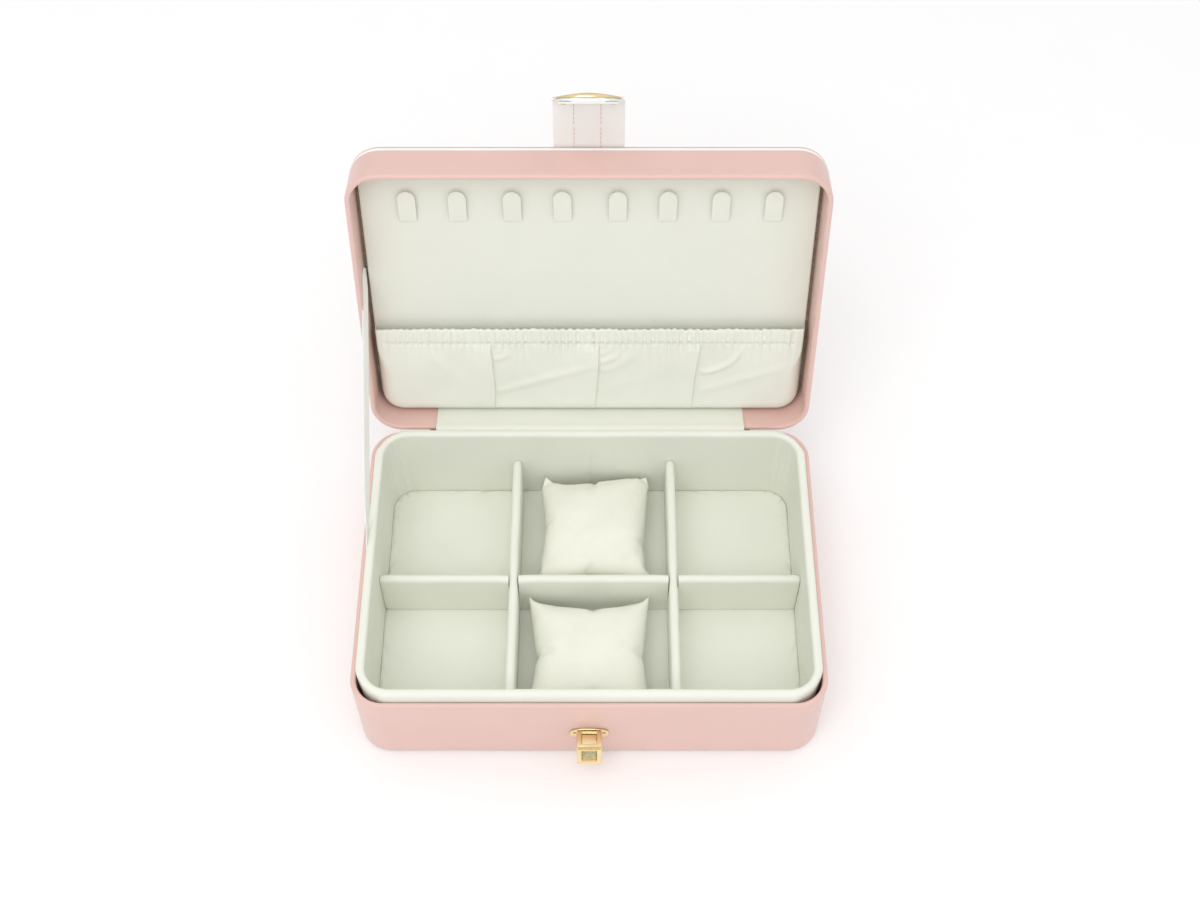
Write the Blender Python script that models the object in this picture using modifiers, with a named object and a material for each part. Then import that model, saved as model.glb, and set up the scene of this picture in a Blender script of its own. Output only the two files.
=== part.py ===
"""A jewelry box with a hinged lid, a strap clasp, dividers and two watch pillows.

The box stands on z = 0 with the middle of its bottom at the origin, +Z up. Its front,
with the latch, faces -Y. The lid stands open. Every part of the lid is modelled closed,
in the frame of the lid's hinge line, and the hinge's empty turns it open. The strap's
free end and its clasp hang from the lid on two more empties in the same way.
Lengths are in metres.
"""

import math

import bmesh
import bpy
from mathutils import Matrix

# --- driving dimensions -----------------------------------------------------------
WIDTH = 0.260
DEPTH = 0.180
BASE_HEIGHT = 0.060  # bottom to the leather rim
LID_HEIGHT = 0.0297  # rim plane to the top panel's crown
CORNER_RADIUS = 0.018
LID_OPEN_DEG = 103.3  # from closed to the stop of the ribbon

# how far the layers of a wall lie in from its outer face
SKIN = 0.0008
BOARD_IN = (0.00105, 0.00215)
TURN_IN = (0.0024, 0.0030)
RIM_GAP = 0.0004  # between the lid's rim and the hinge plane
GAP = 0.0003

# base
COVER_TOP = 0.0006
FLANGE = (0.0009, 0.0017)
FLANGE_REACH = 0.014
FLOOR_BOARD = (0.0020, 0.0044)
PAD_TOP = 0.0072
LINER_OFFSET = 0.0040
LINER_WALL = 0.0042
LINER_BOTTOM = 0.0047
LINER_TOP = 0.067
LINER_RADIUS = 0.018
DIVIDER_THICKNESS = 0.0052
DIVIDER_BOTTOM = 0.0075
DIVIDER_TOP = 0.042
COLUMN_X = 0.0463  # divider to the grid's own middle line
GRID_SHIFT = 0.0021  # the loose grid sits a little to the right
PILLOW_SIZE = (0.067, 0.075, 0.031)

# lid, as distances from the hinge plane (w) and from the hinge line (u)
LID_BOARD = (0.0233, 0.0250)
LID_WRAP_TOP = 0.0261
PIPING_W = 0.0273
PIPING_RADIUS = 0.0010
TOP_PANEL = (0.0264, LID_HEIGHT)
LINING = (0.0190, 0.0206)
FOAM = (0.0209, 0.0230)
LINING_X = 0.125
LINING_U = (0.0040, 0.1765)
TAB_COUNT = 8
TAB_PITCH = 0.0287
TAB_WIDTH = 0.0099
TAB_U = (0.1395, 0.1590)
TAB_THICKNESS = 0.0012
TAB_LEAN_DEG = 4.0
POCKET_U = (0.0045, 0.0670)
POCKET_X = 0.1242
POCKET_W = 0.0112
POCKET_CLOTH = 0.0008
HEM_U = 0.0585
HEM_THICKNESS = 0.0022
FLAP_HALF_WIDTH = 0.092
STRIP_HALF_WIDTH = 0.100

# strap and clasp, as distances along the strap (s) from its fold line
STRAP_WIDTH = 0.0385
STRAP_THICKNESS = 0.0018
STRAP_BACK_U = 0.012
FOLD_U = 0.18035
FOLD_W = 0.0275
STRAP_W = 0.0300
CLASP_BEND_DEG = 59.0
CLASP_S = 0.0263
PLATE_S = 0.0621
PLATE_SIZE = (0.037, 0.024)
SLOT_SIZE = (0.016, 0.0155)
SLOT_S = 0.0616

# latch on the front wall
LATCH_Z = 0.0274
LATCH_PLATE_SIZE = (0.0216, 0.0153)
LATCH_WIDTH = 0.0143
LATCH_TOP = 0.0327
LATCH_BOTTOM = 0.0200
LATCH_BACK_Y = -0.0915
LATCH_TOP_REACH_Y = -0.1010
LATCH_BOTTOM_REACH_Y = -0.1068
WINDOW_HALF = 0.0043
BUTTON_HALF = 0.0040
RIVET_X = 0.0077
RIVET_Z = 0.0290

PART_NAME = "jewelry_box"


# --- scene, collections and materials ----------------------------------------------
def reset_scene():
    """Remove what the open file holds and make the two collections."""
    for item in list(bpy.data.objects):
        bpy.data.objects.remove(item)
    for name in (PART_NAME, "cutters"):
        collection = bpy.data.collections.new(name)
        bpy.context.scene.collection.children.link(collection)


def material(name, colour, roughness, metallic=0.0):
    """A plain Principled material."""
    made = bpy.data.materials.new(name)
    made.use_nodes = True
    shader = made.node_tree.nodes["Principled BSDF"]
    shader.inputs["Base Color"].default_value = (*colour, 1.0)
    shader.inputs["Roughness"].default_value = roughness
    shader.inputs["Metallic"].default_value = metallic
    return made


PINK = ((0.80, 0.52, 0.47), 0.45)
IVORY = ((0.80, 0.79, 0.70), 0.75)
CREAM = ((0.86, 0.85, 0.74), 0.85)
WHITE = ((0.88, 0.88, 0.85), 0.40)
GOLD = ((0.78, 0.58, 0.25), 0.20, 1.0)
BOARD = ((0.55, 0.47, 0.36), 0.90)
STEEL = ((0.60, 0.60, 0.60), 0.30, 1.0)


def finish(item, look, parent=None, smooth=True):
    """Put a piece in the part's collection, with its own material and its parent."""
    for collection in list(item.users_collection):
        collection.objects.unlink(item)
    bpy.data.collections[PART_NAME].objects.link(item)
    item.data.materials.clear()
    item.data.materials.append(material(item.name + "_look", *look))
    item.parent = parent
    if smooth:
        item.data.shade_smooth()
        item.data.set_sharp_from_angle(angle=math.radians(35))
    return item


def hinge_empty(name, parent, place, turn_deg):
    """An empty on a joint's axis, which lies along X."""
    empty = bpy.data.objects.new(name, None)
    bpy.context.scene.collection.objects.link(empty)
    empty.location = place
    empty.rotation_euler = (math.radians(turn_deg), 0.0, 0.0)
    empty.parent = parent
    return empty


# --- outlines -----------------------------------------------------------------------
def arc(centre_x, centre_y, radius, start_deg, end_deg, steps=6):
    """Points on an arc, both ends included."""
    points = []
    for step in range(steps + 1):
        angle = math.radians(start_deg + (end_deg - start_deg) * step / steps)
        points.append((centre_x + radius * math.cos(angle), centre_y + radius * math.sin(angle)))
    return points


def rounded_rectangle(half_x, half_y, radius, steps=6, centre=(0.0, 0.0)):
    """A counter-clockwise rectangle with round corners."""
    points = []
    for side_x, side_y, start in ((1, 1, 0), (-1, 1, 90), (-1, -1, 180), (1, -1, 270)):
        middle_x = centre[0] + side_x * (half_x - radius)
        middle_y = centre[1] + side_y * (half_y - radius)
        points += arc(middle_x, middle_y, radius, start, start + 90, steps)
    return points


def pointed_oval(half_x, half_y, centre=(0.0, 0.0), steps=10):
    """A counter-clockwise eye shape with blunt ends."""
    points = []
    for step in range(4 * steps):
        angle = math.tau * step / (4 * steps)
        taper = 1.0 - 0.14 * math.cos(angle) ** 4
        points.append(
            (centre[0] + half_x * math.cos(angle), centre[1] + half_y * taper * math.sin(angle))
        )
    return points


def curve_object(name, points, cyclic=True):
    """A flat POLY curve through the points."""
    curve = bpy.data.curves.new(name, "CURVE")
    curve.dimensions = "2D"
    spline = curve.splines.new("POLY")
    spline.points.add(len(points) - 1)
    for control, (x, y) in zip(spline.points, points):
        control.co = (x, y, 0.0, 1.0)
    spline.use_cyclic_u = cyclic
    item = bpy.data.objects.new(name, curve)
    bpy.context.scene.collection.objects.link(item)
    return item


def as_mesh(item, name):
    """Turn a curve object into a welded mesh object of the given name."""
    graph = bpy.context.evaluated_depsgraph_get()
    mesh = bpy.data.meshes.new_from_object(item.evaluated_get(graph))
    mesh.name = name
    shell = bmesh.new()
    shell.from_mesh(mesh)
    bmesh.ops.remove_doubles(shell, verts=shell.verts, dist=0.000001)
    bmesh.ops.recalc_face_normals(shell, faces=shell.faces)
    shell.to_mesh(mesh)
    shell.free()
    made = bpy.data.objects.new(name, mesh)
    made.matrix_world = item.matrix_world
    bpy.context.scene.collection.objects.link(made)
    bpy.data.objects.remove(item)
    return made


# --- solids -------------------------------------------------------------------------
def slab(name, points, low, high, bevel=0.0):
    """A flat outline in XY, from z = low to z = high."""
    item = curve_object(name + "_outline", points)
    item.data.fill_mode = "BOTH"
    item.data.extrude = (high - low) / 2
    bpy.context.view_layer.update()
    made = as_mesh(item, name)
    made.data.transform(Matrix.Translation((0.0, 0.0, (high + low) / 2)))
    if bevel:
        modifier = made.modifiers.new("rounded_edges", "BEVEL")
        modifier.width = bevel
        modifier.segments = 3
        modifier.limit_method = "ANGLE"
        modifier.angle_limit = math.radians(50)
    return made


def prism_x(name, points, low, high, bevel=0.0):
    """An outline given as (y, z), from x = low to x = high."""
    made = slab(name, points, low, high, bevel)
    made.data.transform(Matrix(((0, 0, 1, 0), (1, 0, 0, 0), (0, 1, 0, 0), (0, 0, 0, 1))))
    return made


def prism_y(name, points, low, high, bevel=0.0):
    """An outline given as (x, z), from y = low to y = high."""
    made = slab(name, points, -high, -low, bevel)
    made.data.transform(Matrix.Rotation(math.radians(90), 4, "X"))
    return made


def ring(name, half_x, half_y, radius, section):
    """A closed wall whose section, as (distance inward, z), runs round a rounded rectangle."""
    path = curve_object(name + "_path", rounded_rectangle(half_x, half_y, radius))
    profile = curve_object(name + "_section", section)
    path.data.fill_mode = "NONE"
    profile.data.fill_mode = "NONE"
    path.data.bevel_mode = "OBJECT"
    path.data.bevel_object = profile
    bpy.context.view_layer.update()
    made = as_mesh(path, name)
    bpy.data.objects.remove(profile)
    return made


def box(name, low, high):
    """A rectangular block between two corners."""
    mesh = bpy.data.meshes.new(name)
    shell = bmesh.new()
    bmesh.ops.create_cube(shell, size=1.0)
    size = [b - a for a, b in zip(low, high)]
    middle = [(a + b) / 2 for a, b in zip(low, high)]
    bmesh.ops.scale(shell, vec=size, verts=shell.verts)
    bmesh.ops.translate(shell, vec=middle, verts=shell.verts)
    shell.to_mesh(mesh)
    shell.free()
    item = bpy.data.objects.new(name, mesh)
    bpy.context.scene.collection.objects.link(item)
    return item


def pin_y(name, radius, x, z, low, high, sides=16):
    """A round pin along Y."""
    return prism_y(name, arc(x, z, radius, 0, 360 - 360 / sides, sides - 1), low, high)


def boolean(target, other, operation="DIFFERENCE"):
    """Cut or join a piece with a hidden helper, which takes the piece's parent."""
    for collection in list(other.users_collection):
        collection.objects.unlink(other)
    bpy.data.collections["cutters"].objects.link(other)
    other.hide_render = True
    other.display_type = "WIRE"
    other.parent = target.parent
    modifier = target.modifiers.new(other.name, "BOOLEAN")
    modifier.operation = operation
    modifier.object = other
    modifier.solver = "EXACT"


# --- base ---------------------------------------------------------------------------
def wrap_section(low, high, flange, flange_reach, turn_end):
    """The leather's section: out under the flange, up the wall, over the rim, down inside."""
    skin = flange[1] - flange[0]
    inner = TURN_IN[1]
    rim = high - SKIN
    points = [(flange_reach, flange[0])]
    points += arc(0.0018, flange[0] + 0.0018, 0.0018, 270, 180, 4)
    points += arc(0.0015, high - 0.0015, 0.0015, 180, 90, 4)
    points += arc(inner - 0.0012, high - 0.0012, 0.0012, 90, 0, 3)
    points += [(inner, turn_end), (TURN_IN[0], turn_end), (TURN_IN[0], rim)]
    points += [(SKIN, rim), (SKIN, low + skin), (flange_reach, low + skin)]
    return points


def base_shell():
    """The boards, the leather round them and the sheet under the bottom."""
    half_x, half_y = WIDTH / 2, DEPTH / 2
    section = wrap_section(FLANGE[0], BASE_HEIGHT, FLANGE, FLANGE_REACH, 0.020)
    wrap = ring("base_leather_wrap", half_x, half_y, CORNER_RADIUS, section)
    finish(wrap, PINK)
    board_low, board_high = FLOOR_BOARD[0], BASE_HEIGHT - SKIN - 0.00025
    outer, inner = BOARD_IN
    section = [(outer, board_low), (outer, board_high), (inner, board_high), (inner, board_low)]
    frame = ring("base_frame_board", half_x, half_y, CORNER_RADIUS, section)
    finish(frame, BOARD)
    inset = inner + GAP
    outline = rounded_rectangle(half_x - inset, half_y - inset, CORNER_RADIUS - inset)
    finish(slab("base_bottom_board", outline, *FLOOR_BOARD), BOARD)
    inset = 0.007
    outline = rounded_rectangle(half_x - inset, half_y - inset, CORNER_RADIUS - inset)
    finish(slab("base_bottom_cover", outline, 0.0, COVER_TOP), PINK)
    for side in (-1, 1):
        for piece in (wrap, frame):
            name = f"{piece.name}_rivet_hole_{side}"
            hole = pin_y(name, 0.0013, side * RIVET_X, RIVET_Z, -half_y - 0.001, -half_y + 0.0038)
            boolean(piece, hole)


def base_lining():
    """The padded wall ring and the floor pad inside it."""
    half_x, half_y = WIDTH / 2 - LINER_OFFSET, DEPTH / 2 - LINER_OFFSET
    crown = LINER_WALL / 2
    section = [(0.0, LINER_BOTTOM)]
    section += arc(crown, LINER_TOP - crown, crown, 180, 0, 8)
    section += [(LINER_WALL, LINER_BOTTOM)]
    liner = ring("base_liner", half_x, half_y, LINER_RADIUS, section)
    finish(liner, IVORY)
    inset = LINER_WALL + GAP
    outline = rounded_rectangle(half_x - inset, half_y - inset, LINER_RADIUS - inset)
    finish(slab("base_floor_pad", outline, LINER_BOTTOM, PAD_TOP, bevel=0.0008), IVORY)


def board_section(middle):
    """A board's end view, upright with a round top."""
    half = DIVIDER_THICKNESS / 2
    points = [(middle + half, DIVIDER_BOTTOM)]
    points += arc(middle, DIVIDER_TOP - half, half, 0, 180, 8)
    return points + [(middle - half, DIVIDER_BOTTOM)]


def dividers():
    """Two boards from front to back, half-lapped over one that runs across."""
    half_x = WIDTH / 2 - LINER_OFFSET - LINER_WALL - GAP
    half_y = DEPTH / 2 - LINER_OFFSET - LINER_WALL - GAP
    middle_z = (DIVIDER_BOTTOM + DIVIDER_TOP) / 2
    half_slot = DIVIDER_THICKNESS / 2 + GAP
    across = prism_x("divider_cross", board_section(0.0), -half_x, half_x)
    finish(across, IVORY)
    for name, side in (("divider_left", -1), ("divider_right", 1)):
        x = side * COLUMN_X + GRID_SHIFT
        board = prism_y(name, board_section(x), -half_y, half_y)
        finish(board, IVORY)
        low = (x - 0.01, -half_slot, 0.0)
        boolean(board, box(name + "_slot", low, (x + 0.01, half_slot, middle_z + GAP / 2)))
        low = (x - half_slot, -0.01, middle_z - GAP / 2)
        boolean(across, box(name + "_notch", low, (x + half_slot, 0.01, 0.06)))


def watch_pillow(name, middle_x, middle_y):
    """A cushion with four pointed corners and sides that pull in between them."""
    half_x, half_y, half_z = (size / 2 for size in PILLOW_SIZE)
    mesh = bpy.data.meshes.new(name)
    shell = bmesh.new()
    bmesh.ops.create_cube(shell, size=2.0)
    flat_edges = [e for e in shell.edges if abs(e.verts[0].co.z - e.verts[1].co.z) < 0.1]
    bmesh.ops.subdivide_edges(shell, edges=flat_edges, cuts=9, use_grid_fill=True)
    for vertex in shell.verts:
        u, v, side = vertex.co
        swell = max(0.0, (1 - u * u) * (1 - v * v)) ** 0.42
        vertex.co.x = half_x * u * (1 - 0.13 * (1 - v * v))
        vertex.co.y = half_y * v * (1 - 0.09 * (1 - u * u))
        vertex.co.z = side * (0.0009 + (half_z - 0.0009) * swell)
    shell.to_mesh(mesh)
    shell.free()
    item = bpy.data.objects.new(name, mesh)
    bpy.context.scene.collection.objects.link(item)
    item.location = (middle_x, middle_y, PAD_TOP + GAP + half_z)
    finish(item, CREAM)


# --- latch --------------------------------------------------------------------------
def latch():
    """The plate on the front wall, the hollow lock body and what holds them."""
    wall_y = -DEPTH / 2
    half_x, half_z = (size / 2 for size in LATCH_PLATE_SIZE)
    outline = pointed_oval(half_x, half_z, (0.0, LATCH_Z))
    plate = prism_y("latch_base_plate", outline, LATCH_BACK_Y + 0.00025, wall_y - 0.00025)
    finish(plate, GOLD)
    inner = -DEPTH / 2 + TURN_IN[1]
    outline = rounded_rectangle(0.0100, 0.0060, 0.002, 3, (0.0, LATCH_Z))
    back = prism_y("latch_back_plate", outline, inner + 0.00025, inner + 0.00070)
    finish(back, STEEL)
    for name, side in (("latch_rivet_left", -1), ("latch_rivet_right", 1)):
        x = side * RIVET_X
        low, high = LATCH_BACK_Y + 0.00025, inner + 0.00075
        rivet = pin_y(name, 0.0010, x, RIVET_Z, low - 0.0001, high)
        finish(rivet, GOLD)
        head = prism_y(
            name + "_head", arc(x, RIVET_Z, 0.0013, 0, 337.5, 15), low - 0.0003, low - 0.00002
        )
        boolean(rivet, head, "UNION")
        for piece in (plate, back):
            name = f"{piece.name}_hole_{side}"
            boolean(piece, pin_y(name, 0.0013, x, RIVET_Z, low - 0.002, high + 0.001))
    lock_body()
    lock_button()
    lock_spring()


def lock_body():
    """A block whose nose slopes out towards its foot, hollow, with a window above and in front."""
    outline = [
        (LATCH_BACK_Y, LATCH_BOTTOM),
        (LATCH_BACK_Y, LATCH_TOP),
        (LATCH_TOP_REACH_Y, LATCH_TOP),
        (LATCH_BOTTOM_REACH_Y, LATCH_BOTTOM),
    ]
    half = LATCH_WIDTH / 2
    body = prism_x("latch_body", outline, -half, half, bevel=0.0007)
    finish(body, GOLD)
    cavity = [
        (LATCH_BACK_Y + 0.001, LATCH_BOTTOM + 0.0015),
        (LATCH_BACK_Y + 0.001, LATCH_TOP - 0.0014),
        (LATCH_TOP_REACH_Y + 0.0012, LATCH_TOP - 0.0014),
        (LATCH_BOTTOM_REACH_Y + 0.0018, LATCH_BOTTOM + 0.0015),
    ]
    boolean(body, prism_x("latch_cavity", cavity, -WINDOW_HALF, WINDOW_HALF))
    low = (-WINDOW_HALF, LATCH_TOP_REACH_Y + 0.0020, LATCH_TOP - 0.002)
    boolean(body, box("latch_top_window", low, (WINDOW_HALF, LATCH_BACK_Y - 0.0015, 0.036)))
    low = (-WINDOW_HALF, -0.110, LATCH_BOTTOM + 0.0022)
    boolean(body, box("latch_front_window", low, (WINDOW_HALF, -0.100, LATCH_TOP - 0.0022)))


def lock_button():
    """The sprung slider inside the lock: its nose shows in front, its catch stands up above."""
    low, high = LATCH_BOTTOM + 0.0025, LATCH_TOP - 0.0025
    slope = (LATCH_BOTTOM_REACH_Y - LATCH_TOP_REACH_Y) / (LATCH_TOP - LATCH_BOTTOM)
    nose_low = LATCH_TOP_REACH_Y + slope * (LATCH_TOP - low) + 0.0009
    nose_high = LATCH_TOP_REACH_Y + slope * (LATCH_TOP - high) + 0.0009
    pad_front = LATCH_TOP_REACH_Y + 0.0023
    pad_back = pad_front + 0.0036
    outline = [
        (pad_back, low),
        (pad_back, LATCH_TOP - 0.0007),
        (pad_front + 0.0010, LATCH_TOP - 0.0007),
        (pad_front + 0.0010, LATCH_TOP + 0.0006),
        (pad_front, LATCH_TOP + 0.0002),
        (pad_front, high),
        (nose_high, high),
        (nose_low, low),
    ]
    finish(prism_x("latch_button", outline, -BUTTON_HALF, BUTTON_HALF), GOLD)


def lock_spring():
    """The coil between the plate and the button."""
    turns, steps, radius = 3, 10, 0.0014
    rear, front = LATCH_BACK_Y - 0.0003, LATCH_TOP_REACH_Y + 0.0023 + 0.0036 + 0.0005
    middle_z = (LATCH_TOP + LATCH_BOTTOM) / 2
    curve = bpy.data.curves.new("latch_spring_path", "CURVE")
    curve.dimensions = "3D"
    curve.bevel_depth = 0.00025
    curve.bevel_resolution = 1
    curve.use_fill_caps = True
    spline = curve.splines.new("POLY")
    spline.points.add(turns * steps)
    for step, control in enumerate(spline.points):
        share = step / (turns * steps)
        angle = math.tau * turns * share
        y = rear + (front - rear) * share
        control.co = (radius * math.cos(angle), y, middle_z + radius * math.sin(angle), 1.0)
    item = bpy.data.objects.new("latch_spring_path", curve)
    bpy.context.scene.collection.objects.link(item)
    bpy.context.view_layer.update()
    finish(as_mesh(item, "latch_spring"), STEEL)


# --- lid, in the frame of its hinge line ---------------------------------------------
def lid_ring(name, section):
    """A ring round the lid's outline, which starts at the hinge line and runs to -Y."""
    made = ring(name, WIDTH / 2, DEPTH / 2, CORNER_RADIUS, section)
    made.data.transform(Matrix.Translation((0.0, -DEPTH / 2, 0.0)))
    return made


def lid_slab(name, inset, low, high, bevel=0.0):
    """A slab that follows the lid's outline, drawn in by inset."""
    half_x, half_y = WIDTH / 2 - inset, DEPTH / 2 - inset
    outline = rounded_rectangle(half_x, half_y, CORNER_RADIUS - inset, 6, (0.0, -DEPTH / 2))
    return slab(name, outline, low, high, bevel)


def mirrored_section(section, height):
    """A section turned upside down about half of height, kept in its winding."""
    return [(inward, height - z) for inward, z in reversed(section)]


def lid_shell(hinge):
    """The lid's board tray, its leather, the padded top and the piping round it."""
    height = RIM_GAP + LID_WRAP_TOP
    flange = (RIM_GAP, RIM_GAP + SKIN)
    section = wrap_section(flange[0], LID_WRAP_TOP, flange, 0.012, LID_WRAP_TOP + RIM_GAP - 0.0226)
    finish(lid_ring("lid_leather_wrap", mirrored_section(section, height)), PINK, hinge)
    outer, inner = BOARD_IN
    rim = RIM_GAP + SKIN + 0.00025
    section = [(outer, rim), (outer, LID_BOARD[1]), (inner, LID_BOARD[1]), (inner, rim)]
    tray = finish(lid_ring("lid_frame_board", section), BOARD, hinge)
    boolean(tray, lid_slab("lid_frame_top", outer + 0.0002, *LID_BOARD), "UNION")
    finish(lid_slab("lid_top_panel", 0.0024, *TOP_PANEL, bevel=0.0018), PINK, hinge)
    loop = arc(0.0012, PIPING_W, PIPING_RADIUS, 330, 0, 11)
    finish(lid_ring("lid_piping", loop), WHITE, hinge)


def lid_lining(hinge):
    """The card that lines the lid and the foam sheet behind it."""
    for name, layer, inset in (("lid_lining_panel", LINING, 0.0), ("lid_lining_foam", FOAM, 0.002)):
        near, far = LINING_U
        half_u = (far - near) / 2 - inset
        centre = (0.0, -(near + far) / 2)
        outline = rounded_rectangle(LINING_X - inset, half_u, 0.013 - inset, 6, centre)
        finish(slab(name, outline, *layer), IVORY, hinge)


def necklace_tabs(hinge):
    """Leather tongues that lean off the lining, free at their round tips."""
    near, far = TAB_U
    for index in range(TAB_COUNT):
        x = (index - (TAB_COUNT - 1) / 2) * TAB_PITCH
        half = TAB_WIDTH / 2
        outline = [(x - half, -near), (x + half, -near)][::-1]
        outline += arc(x, -far + half, half, 180, 360, 8)
        name = f"necklace_tab_{index + 1}"
        tab = slab(name, outline, -TAB_THICKNESS, 0.0)
        lean = Matrix.Rotation(math.radians(TAB_LEAN_DEG), 4, "X")
        foot = Matrix.Translation((0.0, -near, LINING[0] - GAP))
        tab.data.transform(foot @ lean @ Matrix.Translation((0.0, near, 0.0)))
        finish(tab, IVORY, hinge)


def pocket_outline(inset, far):
    """The pocket seen from the front: round at the two corners near the hinge."""
    half, near, radius = POCKET_X - inset, POCKET_U[0] + inset, 0.0125 - inset
    points = [(half, -far)]
    points += arc(half - radius, -near - radius, radius, 0, 90, 5)
    points += arc(-half + radius, -near - radius, radius, 90, 180, 5)
    return points + [(-half, -far)]


def pocket(hinge):
    """A cloth pocket across the lid, open at its hem, with a flat elastic in the hem."""
    far = POCKET_U[1]
    back = LINING[0] - GAP
    bag = slab("lid_pocket", pocket_outline(0.0, far), POCKET_W, back)
    finish(bag, IVORY, hinge)
    hollow = pocket_outline(POCKET_CLOTH, far + 0.01)
    boolean(bag, slab("pocket_hollow", hollow, POCKET_W + POCKET_CLOTH, back + 0.01))
    half = POCKET_X - POCKET_CLOTH / 2
    low = (-half, -far, POCKET_W + POCKET_CLOTH / 2)
    boolean(bag, box("pocket_hem", low, (half, -HEM_U, POCKET_W + HEM_THICKNESS)), "UNION")
    low, high = -far + 0.0008, -HEM_U - 0.0008
    inside = (POCKET_W + 0.0006, POCKET_W + HEM_THICKNESS - 0.0006)
    boolean(bag, box("hem_tunnel", (-0.2, low, inside[0]), (0.2, high, inside[1])))
    middle = sum(inside) / 2
    corner = (-POCKET_X + 0.0005, low + GAP, middle - 0.0002)
    band = box("pocket_elastic", corner, (POCKET_X - 0.0005, high - GAP, middle + 0.0002))
    finish(band, WHITE, hinge, smooth=False)


def hinge_leathers(hinge):
    """The leather strip outside and the flap inside, each in a base half and a lid half."""
    back = DEPTH / 2
    wide = STRIP_HALF_WIDTH
    strip = box("hinge_strip_base", (-wide, back + 0.0003, 0.044), (wide, back + 0.0011, 0.0575))
    finish(strip, PINK, smooth=False)
    strip = box("hinge_strip_lid", (-wide, 0.0003, 0.0020), (wide, 0.0011, 0.0155))
    finish(strip, PINK, hinge, smooth=False)
    wide = FLAP_HALF_WIDTH
    inner = TURN_IN[1] + 0.00025
    low, high = (-wide, back - inner - 0.0004, 0.038), (wide, back - inner, BASE_HEIGHT - 0.0003)
    finish(box("hinge_flap_base", low, high), IVORY, smooth=False)
    low, high = (-wide, -inner - 0.0004, 0.0010), (wide, -inner, LINING[0] - GAP)
    finish(box("hinge_flap_lid", low, high), IVORY, hinge, smooth=False)


def ribbon_stay():
    """The ribbon that stops the lid, straight from the base's left wall to the lid's."""
    foot = (-0.1265, 0.0085, 0.0640)
    open_angle = math.radians(LID_OPEN_DEG)
    u, w = 0.107, 0.0187
    top_y = DEPTH / 2 - u * math.cos(open_angle) + w * math.sin(open_angle)
    top_z = BASE_HEIGHT + u * math.sin(open_angle) + w * math.cos(open_angle)
    rise, run = top_z - foot[2], top_y - foot[1]
    length = math.hypot(rise, run)
    half_width, half_thickness, tucked = 0.004, 0.0002, 0.012
    band = box(
        "ribbon_stay",
        (-half_thickness, -half_width, -tucked),
        (half_thickness, half_width, length),
    )
    tilt = Matrix.Rotation(-math.atan2(run, rise), 4, "X")
    band.data.transform(Matrix.Translation(foot) @ tilt)
    finish(band, WHITE, smooth=False)


# --- strap and clasp -------------------------------------------------------------------
def strap(hinge):
    """The strap along the lid's top, its free end past the front edge, and the clasp."""
    half = STRAP_WIDTH / 2
    low, high = (-half, -FOLD_U + 0.0013, STRAP_W), (half, -STRAP_BACK_U, STRAP_W + STRAP_THICKNESS)
    finish(box("lid_strap", low, high), WHITE, hinge, smooth=False)
    fold = hinge_empty("strap_fold_axis", hinge, (0.0, -FOLD_U, FOLD_W), 0.0)
    inner = STRAP_W - FOLD_W
    low, high = (-half, -CLASP_S + 0.0008, inner), (half, -0.0010, inner + STRAP_THICKNESS)
    finish(box("strap_tab", low, high), WHITE, fold, smooth=False)
    middle = inner + STRAP_THICKNESS / 2
    bend = hinge_empty("clasp_axis", fold, (0.0, -CLASP_S, middle), CLASP_BEND_DEG)
    clasp(bend)


def clasp(bend):
    """The strap's tip between the oval plate in front and its backing, riveted through."""
    half = STRAP_THICKNESS / 2
    plate_y = -(PLATE_S - CLASP_S)
    slot_y = -(SLOT_S - CLASP_S)
    wide = STRAP_WIDTH / 2 - 0.0003
    tip_y, radius = plate_y - PLATE_SIZE[1] / 2 + 0.0012, 0.012
    outline = [(wide - 0.001, -0.0008), (-wide + 0.001, -0.0008)]
    outline += arc(-wide + 0.001 + radius, tip_y + radius, radius, 180, 270, 6)
    outline += arc(wide - 0.001 - radius, tip_y + radius, radius, 270, 360, 6)
    tip = finish(slab("strap_end", outline, -half, half), WHITE, bend)
    outline = pointed_oval(PLATE_SIZE[0] / 2, PLATE_SIZE[1] / 2, (0.0, plate_y))
    front = finish(slab("clasp_plate", outline, half + 0.0003, half + 0.0018, 0.0004), GOLD, bend)
    outline = rounded_rectangle(0.0150, 0.0105, 0.003, 4, (0.0, plate_y))
    back = finish(slab("clasp_back_plate", outline, -half - 0.0009, -half - 0.0003), GOLD, bend)
    slot_x, slot_half_y = (size / 2 for size in SLOT_SIZE)
    for piece in (tip, front, back):
        low = (-slot_x, slot_y - slot_half_y, -0.01)
        boolean(piece, box(piece.name + "_slot", low, (slot_x, slot_y + slot_half_y, 0.01)))
    for name, side in (("clasp_rivet_left", -1), ("clasp_rivet_right", 1)):
        x = side * 0.0125
        shank = arc(x, plate_y, 0.0009, 0, 337.5, 15)
        rivet = finish(slab(name, shank, -half - 0.0012, half + 0.0001), GOLD, bend)
        head = arc(x, plate_y, 0.0016, 0, 337.5, 15)
        boolean(rivet, slab(name + "_head", head, -half - 0.0015, -half - 0.00115), "UNION")
        for piece in (tip, back):
            hole = arc(x, plate_y, 0.0012, 0, 337.5, 15)
            boolean(piece, slab(f"{piece.name}_hole_{side}", hole, -0.005, 0.005))


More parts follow.
